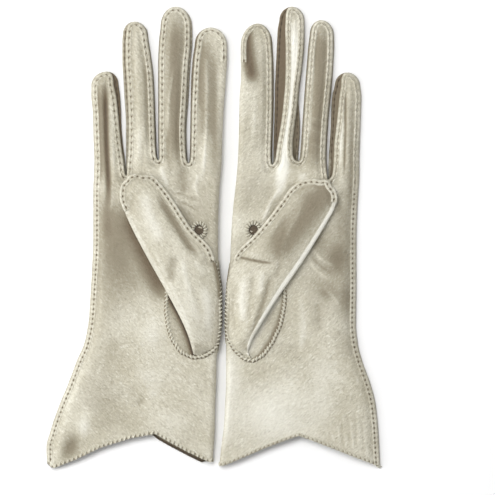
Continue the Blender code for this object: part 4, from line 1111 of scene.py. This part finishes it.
def tubes(paths, radius, sides=6):
    """Round threads along many short paths (N, P, 3), each closed at its ends."""
    paths = np.asarray(paths, float)
    n, p, _ = paths.shape
    t = np.gradient(paths, axis=1)
    t /= np.maximum(np.linalg.norm(t, axis=2, keepdims=True), 1e-9)
    ref = np.array([0.13, 0.21, 0.97])
    a = np.cross(t, ref)
    a /= np.maximum(np.linalg.norm(a, axis=2, keepdims=True), 1e-9)
    b = np.cross(t, a)
    ang = np.arange(sides) * 2 * math.pi / sides
    r = np.broadcast_to(np.asarray(radius, float), (p,))
    ring = (paths[:, :, None, :] + r[None, :, None, None]
            * (a[:, :, None, :] * np.cos(ang)[None, None, :, None] + b[:, :, None, :]
               * np.sin(ang)[None, None, :, None]))
    one = grid_faces(p, sides, 0, True)[:, ::-1]
    last = (p - 1) * sides
    caps = np.array([[0, 1, 2, 3], [0, 3, 4, 5], [last + 3, last + 2, last + 1, last],
                     [last + 5, last + 4, last + 3, last]])
    one = np.vstack([one, caps])
    faces = (one[None] + (np.arange(n) * p * sides)[:, None, None]).reshape(-1, 4)
    return ring.reshape(-1, 3), faces


def dashes(centres, along, length, rise, sink, radius, up=1.0):
    """Running stitches: short threads that come up out of the leather and go back in."""
    w = np.linspace(-1, 1, 7)
    paths = (centres[:, None, :] + along[:, None, :] * (w * length / 2)[None, :, None])
    paths[:, :, 2] += up * (rise - (rise + sink) * np.abs(w) ** 3)[None, :]
    return tubes(paths, radius)


def at_pitch(run, pitch):
    """Row numbers of the stitches' middles."""
    marks = np.arange(0.0, run[-1], pitch)
    return np.clip(np.searchsorted(run, marks), 0, len(run) - 1)


def sew(pattern, layer):
    """The long seam round all the fingers on one side of the glove."""
    path, tags = palm_seam(pattern) if layer == "palm" else back_seam(pattern)
    ground = pattern.ground
    section = PALM_LIP if layer == "palm" else BACK_LIP
    up = 1.0 if layer == "palm" else -1.0
    owner = [0 if y < BLEND[FINGERS[k]][0] else k + 1 for k, y in zip(tags, path[:, 1])]
    low = path[:, 1] < FINGERS_START
    P, tone, run, _ = seam_strip(path, section, ground, FINGER_PITCH, WELT_IN, up, follow=layer == "palm")
    P2, tone2, _, _ = seam_strip(path[low], section, ground, SIDE_PITCH, WELT_IN, up, follow=layer == "palm")
    n = int(low.sum())
    P[:n], tone[:n] = P2, tone2
    # painted shade along the lips' outer edge, and on the back's lips more painted shade beside a shaded side
    # strip
    tone[:, :5] += 0.35
    if layer == "back":
        tips = [f[1][0] for f in pattern.spec["fingers"]]
        beside_strip_shade = np.array([pattern.spec["strip_shades"][k][int(x > tips[k])] for k, x in zip(tags, path[:, 0])])
        tone[:, :5] += (0.85 * beside_strip_shade * ease(path[:, 1], 44.0, 56.0))[:, None]
    m = len(section)
    for who, a, b in runs(owner):
        faces = grid_faces(b - a, m)
        pattern.leather[who].add(P[a:b], faces, tone[a:b])
    along = np.concatenate([directions(path), np.zeros((len(path), 1))], 1)
    groove = int(np.argmin([abs(p[0] - 1.87) for p in section])) if layer == "palm" else 9
    spots = np.concatenate([at_pitch(run[:n], SIDE_PITCH), n + at_pitch(run[n:] - run[n], FINGER_PITCH)])
    for who in set(owner):
        pick = np.array([i for i in spots if owner[i] == who and 3 < i < len(path) - 3], int)
        if len(pick) == 0:
            continue
        centres = P[pick, groove]
        length = np.where(pick < n, 1.75, 2.3)[:, None]
        long = along[pick] * length / 2.0
        points, faces = dashes(centres, long, 2.0, 0.16, 0.42, 0.26, up)
        pattern.threads[who].add(points, faces)


for pattern in PATTERNS:
    pattern.ground = Ground(pattern.cloud)
    sew(pattern, "palm")
    sew(pattern, "back")
    print(pattern.name, "seams sewn:", sum(h.count for h in pattern.threads), "thread points")

# %% [markdown]
# ## Hem
# The cuff's edge is overcast: short upright threads over the raw edge, with a small notch between
# each two.  The edge runs once round the open end, palm first and back again underneath.

# %% Hem
# the hem's section: across and up (mm), and a tone: a painted highlight on the lip, painted shade at the raw
# edge
HEM_LIP = [(-0.02, -0.75, 0.2), (-0.12, -0.3, 0.2), (0.02, 0.12, 0.0), (0.4, 0.34, -0.15), (0.95, 0.36, -0.1),
           (1.5, 0.22, 0.1), (2.0, 0.02, 0.1), (2.6, -0.3, 0.0)]


def hem(pattern):
    by = {(k, layer): (a, b) for k, layer, a, b in pattern.hem_rows}
    order = [(0, "palm"), (1, "palm"), (2, "palm"), (3, "palm"), (2, "back"), (1, "back"), (0, "back")]
    edge = np.vstack([by[o][0] for o in order])
    deep = np.vstack([by[o][1] for o in order])
    keep = np.concatenate([[True], np.linalg.norm(np.diff(edge, axis=0), axis=1) > 0.05])
    both = even(np.hstack([edge[keep], deep[keep]]), 0.45)
    edge, deep = both[:, :3], both[:, 3:]
    into = deep - edge
    into /= np.linalg.norm(into, axis=1, keepdims=True)
    t = directions(edge)
    up = np.cross(t, into)
    up /= np.linalg.norm(up, axis=1, keepdims=True)
    run = np.concatenate([[0], np.cumsum(np.linalg.norm(np.diff(edge, axis=0), axis=1))])
    notch = np.exp(-(((run / HEM_PITCH) % 1.0 - 0.5) / 0.2) ** 2)[:, None]
    sec = np.array(HEM_LIP)
    dip = notch * np.exp(-((sec[:, 0] - 0.5) / 0.9) ** 2)[None, :]
    P = (edge[:, None, :] + into[:, None, :] * (sec[:, 0][None, :, None] + 0.18 * dip[:, :, None])
         + up[:, None, :] * (sec[:, 1][None, :] - 0.3 * dip)[:, :, None])
    # painted shade in the notches between the stitches
    tone = sec[:, 2][None, :] + 1.7 * dip
    low = edge[:, 2][:, None] > 3.5
    P[:, :, 2] = np.where(low, P[:, :, 2], np.maximum(P[:, :, 2], 0.06))
    pattern.leather[0].add(P, grid_faces(len(edge), len(sec)), tone)
    pick = at_pitch(run, HEM_PITCH)
    pick = pick[(pick > 2) & (pick < len(edge) - 3)]
    reach, lift = [-0.02, -0.08, 0.25, 0.9, 1.6, 2.2], [-0.5, 0.0, 0.36, 0.44, 0.36, -0.1]
    paths = np.stack([edge[pick] + into[pick] * r + up[pick] * h + t[pick] * 0.12 * i
                      for i, (r, h) in enumerate(zip(reach, lift))], 1)
    paths[:, :, 2] = np.maximum(paths[:, :, 2], 0.36)
    pattern.threads[0].add(*tubes(paths, 0.3))


# two loose thread ends at the outer corner of the left glove's hem
LOOSE_ENDS = [[(-99.8, -138.2, 1.6), (-100.9, -138.9, 1.9), (-102.0, -138.8, 1.5), (-103.1, -139.3, 0.9)],
              [(-99.6, -138.8, 1.3), (-100.6, -139.5, 1.4), (-101.6, -139.8, 0.9), (-102.4, -140.2, 0.6)]]
for pattern in PATTERNS:
    hem(pattern)
    if pattern.name == "left":
        pattern.threads[0].add(*tubes(LOOSE_ENDS, 0.3))

# %% [markdown]
# ## Thumb
# The thumb is one piece folded along its outer side.  It grows out of the oval hole, lies slantwise
# over the palm, and is sewn along the side towards the forefinger and round its tip.

# %% Thumb leather
# the rope's section: across and up (mm), and a tone: painted shade in the grooves on either side, a painted
# highlight along its top
ROPE = [(-3.0, -0.45, 0.2), (-2.4, -0.08, 0.7), (-1.75, -0.18, 1.6), (-1.2, 0.12, 1.3), (-0.7, 0.72, 0.3),
        (0.0, 0.98, -0.4), (0.6, 0.76, -0.1), (1.05, 0.3, 0.6), (1.5, 0.05, 0.7), (2.1, -0.45, 0.3)]
THUMB_UNDER = 9.35      # underside of the thumb, clear of the oval's seam


def thumb_rows(pattern, count=190):
    """Fold edge, seam edge and station number of every row, the tip's rounding included."""
    spots = pattern.spec["thumb"]
    table = [(i, f[0], f[1], r[0], r[1]) for i, (f, r) in enumerate(spots)]
    at = np.linspace(0, len(spots) - 1, count)
    F = np.stack([smooth(table, at, 1), smooth(table, at, 2)], -1)
    R = np.stack([smooth(table, at, 3), smooth(table, at, 4)], -1)
    mid, half = 0.5 * (F[-1] + R[-1]), 0.5 * (F[-1] - R[-1])
    out = np.array([half[1], -half[0]]) / np.linalg.norm(half)
    for a in np.linspace(0, 1.5, 9)[1:]:
        F = np.vstack([F, mid + half * math.cos(a) + out * 1.7 * math.sin(a)])
        R = np.vstack([R, mid - half * math.cos(a) + out * 1.7 * math.sin(a)])
        at = np.append(at, len(spots) - 1 + 0.12 * a)
    return F, R, at


def thumb(pattern):
    F, R, at = thumb_rows(pattern)
    last = len(pattern.spec["thumb"]) - 1
    free = pattern.spec["thumb_free"]
    wide = np.linalg.norm(R - F, axis=1)
    tip = np.clip((at - free) / (last - free), 0, 1)
    end = np.clip((at - last) / 0.18, 0, 1)
    under = THUMB_UNDER - 0.25 * tip
    start = pattern.ground(F[:, 0], F[:, 1]) + 0.35
    under = start + (under - start) * ease(at, 0.0, 2.6)
    radius = np.minimum(1.75 - 0.55 * tip, 0.22 * wide) * np.sqrt(np.maximum(0.05, 1 - 0.8 * end ** 2))
    zc = under + radius
    seam = pattern.ground(R[:, 0], R[:, 1]) + 0.55
    seam = seam + (THUMB_UNDER + 1.35 - 0.5 * tip - seam) * ease(at, free - 1.9, free + 0.3)
    crown = (2.3 - 0.9 * tip) * ease(at, 0.0, 2.5) * (1 - 0.8 * end)
    low, top = np.linspace(1, 0, 14), np.linspace(0, 1, 44)
    arc = np.linspace(math.pi, 0, 11)[1:-1]
    a = (R - F) / wide[:, None]
    columns, heights = [], []
    inner = wide - radius
    for t in low:
        columns.append(F + a * (radius + inner * t)[:, None])
        heights.append((zc - radius) * (1 - t) + (seam - 0.9) * t)
    for phi in arc:
        columns.append(F + a * (radius * (1 - math.sin(phi)))[:, None])
        heights.append(zc + radius * math.cos(phi))
    for t in top:
        columns.append(F + a * (radius + inner * t)[:, None])
        heights.append((zc + radius) * (1 - t ** 1.25) + seam * t ** 1.25 + crown * (1 - abs(2 * t - 1) ** 2.3))
    XY, Z = np.stack(columns, 1), np.stack(heights, 1)
    X, Y = XY[:, :, 0], XY[:, :, 1]
    n = len(low)
    Z[:, :n] = np.maximum(Z[:, :n], pattern.ground(X[:, :n], Y[:, :n]) + 0.2)
    folds = FOLDS[pattern.name]
    rise, painted_shade = relief(X, Y, folds["thumb_strokes"], folds["thumb_patches"])
    share = np.concatenate([np.zeros(n + len(arc)),
                            np.clip(top / 0.12, 0, 1) * np.clip((1 - top) / 0.15, 0, 1)])
    Z = Z + rise * share[None, :] + 0.12 * share[None, :] * ripple(X, Y, 8, 4, 120, 21)
    place = np.arange(Z.shape[1])
    on_fold = (place >= n + 2) & (place < n + 11)
    # painted shade from the folds on the thumb's top, and a painted highlight along its fold edge
    tone = painted_shade * (place >= n)[None, :] + pattern.spec["fold_highlight"] * on_fold[None, :]
    cloud = np.stack([X, Y, Z], -1)[:, n + len(arc):].reshape(-1, 3)
    # its seam, from the fold side round the tip and down to the oval
    a0 = int(np.argmax(F[:, 1] > pattern.spec["thumb_seam_end"]))
    b0 = int(np.argmax((at > 2) & (R[:, 1] > -13.5)))
    path = np.vstack([F[a0:], R[b0:][::-1]])
    path, _ = drawn_in(path, np.zeros(len(path), int), WELT_IN, 0.45)
    guide = flat_tree(path)
    gap = np.array([guide.find((x, y, 0.0))[2] for x, y in zip(X.ravel(), Y.ravel())]).reshape(X.shape)
    upper = (np.arange(Z.shape[1]) >= n + len(arc) // 2)[None, :]
    Z = Z - upper * (0.5 * (1 - ease(gap, 1.3, 2.3)) + 0.35 * np.exp(-((gap - 3.0) / 1.1) ** 2))
    # painted shade in the valley beside the thumb's seam
    tone = tone + upper * 0.25 * np.exp(-((gap - 3.2) / 1.2) ** 2)
    heap = Heap()
    heap.add(np.stack([X, Y, Z], -1), grid_faces(len(F), Z.shape[1]), tone)
    pattern.thumb = finished(heap)
    pattern.thumb_threads = Heap()
    over = Ground(cloud)
    P, tone, run, _ = seam_strip(path, PALM_LIP, over, THUMB_PITCH, WELT_IN)
    P[:, :3, 2] = np.maximum(P[:, :3, 2], THUMB_UNDER - 0.2)
    pattern.thumb.add(P, grid_faces(len(path), len(PALM_LIP)), tone)
    along = np.concatenate([directions(path), np.zeros((len(path), 1))], 1)
    pick = at_pitch(run, THUMB_PITCH)
    pick = pick[(pick > 2) & (pick < len(path) - 3)]
    pattern.thumb_threads.add(*dashes(P[pick, 8], along[pick], 2.0, 0.16, 0.42, 0.27))


def oval(pattern):
    """The seam round the thumb's hole, the pocket beside the fold and the little sewn eye above."""
    ring = np.array(pattern.spec["oval"][::-1], float)
    path = soften(even(ring, 0.45, closed=True), 12, True)
    # it stays on its own glove: beside the forefinger's fold it is drawn in to the edge
    path[:, 0] = np.minimum(path[:, 0], pattern.fold(path[:, 1]) - 0.7)
    P, _, run, inward = seam_strip(path, ROPE, pattern.ground, ROPE_PITCH, 0.0, closed=True, hole=0.0)
    P[:, :, 0] = np.minimum(P[:, :, 0], pattern.fold(P[:, :, 1]) + 0.5)
    u = (run / ROPE_PITCH) % 1.0
    sec = np.array([p[0] for p in ROPE])
    pits = np.exp(-((u - 0.5) / 0.2) ** 2)[:, None] * np.exp(-((np.abs(sec) - 0.75) / 0.35) ** 2)[None, :]
    # painted shade in the pits between the whipped threads
    tone = np.array([p[2] for p in ROPE])[None, :] + 1.9 * pits
    P[:, :, 2] -= 0.2 * pits
    pattern.leather[0].add(P, grid_faces(len(path), len(ROPE), 0, False), tone)
    pattern.leather[0].add(np.stack([P[-1], P[0]]), grid_faces(2, len(ROPE)), np.stack([tone[-1], tone[0]]))
    along = np.concatenate([directions(path, True), np.zeros((len(path), 1))], 1)
    side = np.concatenate([inward, np.zeros((len(path), 1))], 1)
    base = np.concatenate([path, pattern.ground(path[:, 0], path[:, 1])[:, None]], 1)
    pick = at_pitch(run, ROPE_PITCH)
    paths = np.stack([base[pick] + side[pick] * o + along[pick] * g + np.array([0, 0, h]) for o, g, h in
                      ((-1.15, -0.9, 0.0), (-0.85, -0.6, 0.78), (-0.3, -0.2, 1.2), (0.35, 0.25, 1.2),
                       (0.85, 0.6, 0.78), (1.15, 0.9, 0.0))], 1)
    pattern.threads[0].add(*tubes(paths, 0.42))
    # the pocket between the fold and the seam
    F, _, at = thumb_rows(pattern)
    edge = even(np.array(pattern.spec["pocket"], float), 0.8)
    F = F[:int(np.argmax(at > 3.2))]
    F = even(F, 0.3)
    F = F[np.linspace(0, len(F) - 1, len(edge)).astype(int)]
    t = np.linspace(0, 1, 16)[None, :, None]
    over = F + np.array([3.5, -0.6])
    XY = edge[:, None, :] * (1 - t) + over[:, None, :] * t
    t = t[:, :, 0]
    Z = pattern.ground(XY[:, :, 0], XY[:, :, 1]) + 0.55 * (1
                                                           - t) ** 2 + 0.16 + 0.10 * ripple(XY[:, :, 0], XY[:, :, 1], 6, 1.6, 65, 31)
    near = beside(XY[:, :, 0], XY[:, :, 1], [tuple(p) for p in F[::4]])
    # painted shadow beside the thumb's fold (a painted highlight where below zero), and painted shade in the
    # crease along the seam
    shade, rim = pattern.spec["pocket_shade"]
    tone = shade * (np.exp(-(near / 1.5) ** 2) + 0.35
                    * np.exp(-(near / 4.5) ** 2)) + rim * np.exp(-(t / 0.18) ** 2) + 0.1
    pattern.leather[0].add(np.stack([XY[:, :, 0], XY[:, :, 1], Z], -1), grid_faces(len(edge), 16), tone)
    # the eye
    cx, cy = pattern.spec["loop"]
    n = 60
    w = np.arange(n) * 2 * math.pi / n
    level = float(pattern.ground(np.array([cx]), np.array([cy]))[0])
    rim_points = []
    for a in np.arange(8) * 2 * math.pi / 8:
        r = 4.3 + (1.0 + 0.1 * np.cos(7 * w)) * math.cos(a)
        rim_points.append(np.stack([cx + 0.92 * r * np.cos(w), cy + r * np.sin(w),
                                    level + 0.35 + 0.7 * math.sin(a) + 0 * w], -1))
    ringed = np.stack(rim_points, 0)
    faces = grid_faces(9, n, 0, True)
    faces = faces % (8 * n)
    between = np.exp(-((((w * EYE_STITCHES / (2 * math.pi)) % 1) - 0.5) / 0.2) ** 2)
    # the eye's ring, with painted shade between its stitches
    pattern.leather[0].add(ringed, faces, 0.5 + 1.0 * np.tile(between, 8) * 0.8)
    # the eye's dark middle is painted shade in its opening
    discs = np.stack([np.stack([cx + 0.92 * r * np.cos(w), cy + r * np.sin(w), level + h + 0 * w], -1)
                      for r, h in ((4.2, 0.45), (3.35, 0.12), (1.9, 0.05), (0.02, 0.04))], 0)
    pattern.leather[0].add(discs, grid_faces(4, n, 0, True), np.repeat([1.8, 3.0, 2.8, 2.7], n))
    spokes = np.arange(EYE_STITCHES) * 2 * math.pi / EYE_STITCHES
    paths = np.stack([np.stack([cx + 0.92 * r * np.cos(spokes + g), cy + r * np.sin(spokes + g),
                                level + h + 0 * spokes], -1)
                      for r, g, h in ((3.25, 0.0, 0.1), (3.35, 0.03, 0.8), (3.8, 0.08, 1.3),
                                      (4.7, 0.12, 1.35), (5.3, 0.16, 0.8), (5.6, 0.2, -0.1))], 1)
    pattern.threads[0].add(*tubes(paths, 0.44))


for pattern in PATTERNS:
    thumb(pattern)
    oval(pattern)
    print(pattern.name, "thumb:", pattern.thumb.count)

# %% [markdown]
# ## Putting the pieces in place
# Hand pieces ride on the hand.  Finger and thumb pieces keep the places they were made in, baked into their
# points.

# %% Pieces
def piece(pattern, heap, name, materials, nodes):
    P, T = np.concatenate(heap.points), np.concatenate(heap.tones)
    obj = make(pattern, pattern.name + "_" + name, P, T, np.concatenate(heap.faces),
               np.concatenate(heap.slots), materials)
    for node in nodes:
        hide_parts(pattern.name + "_" + node)
    return obj


def bends(pattern, obj, finger):
    low, high = BLEND[finger]
    k = FINGERS.index(finger)
    x = pattern.sign * float(np.mean(pattern.edges(k, np.array(low + 6.0)))) + CENTRE[0]
    ends = [(x * MM, (y + CENTRE[1]) * MM, 0.005) for y in (low, high)]
    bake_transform(obj)


LEATHER_NODES = {f: [f + "_palm", f + "_back"] for f in ("pinky", "ring", "middle")}
LEATHER_NODES["index"] = ["index_stall"]
STRIP_NODES = {"index": ["index_fourchette_middle"],
               "middle": ["middle_fourchette_ring", "middle_fourchette_index"],
               "ring": ["ring_fourchette_pinky", "ring_fourchette_middle"],
               "pinky": ["pinky_fourchette_ring"]}
THREAD_NODES = {f: [f + "_palm_thread", f + "_back_thread"] for f in ("pinky", "ring", "middle")}
THREAD_NODES["index"] = ["index_thread"]
for pattern in PATTERNS:
    hand = pattern.name + "_hand"
    for heap, name, mats, slot, nodes in (
            (pattern.leather[0], "hand_leather", [KID, KID_EDGE], "ivory_kid", ["trank"]),
            (pattern.strips[0], "hand_strips", [KID_STRIP], "fourchette_kid",
             ["crotch_pinky_ring", "crotch_ring_middle", "crotch_middle_index"]),
            (pattern.threads[0], "hand_threads", [THREAD], "stitching",
             ["side_thread", "hem_thread", "thumb_hole_thread"])):
        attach(piece(pattern, heap, name, mats, nodes), hand)
    for k, finger in enumerate(FINGERS):
        for heap, what, mats, slot, nodes in (
                (pattern.leather[k + 1], "leather", [KID, KID_EDGE], "ivory_kid", LEATHER_NODES),
                (pattern.strips[k + 1], "strips", [KID_STRIP], "fourchette_kid", STRIP_NODES),
                (pattern.threads[k + 1], "threads", [THREAD], "stitching", THREAD_NODES)):
            bends(pattern, piece(pattern, heap, finger + "_" + what, mats, nodes[finger]), finger)
    (px, py), (dx, dy) = pattern.spec["thumb_at"], pattern.spec["thumb_along"]
    ends = [((pattern.sign * (px + dx * d) + CENTRE[0]) * MM, (py + dy * d + CENTRE[1]) * MM, 0.011)
            for d in (-9.0, 6.0)]
    for obj in (piece(pattern, pattern.thumb, "thumb_leather", [KID, KID_EDGE],
                      ["thumb_stall", "thumb_base"]),
                piece(pattern, pattern.thumb_threads, "thumb_threads", [THREAD],
                      ["thumb_seam_thread"])):
        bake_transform(obj)
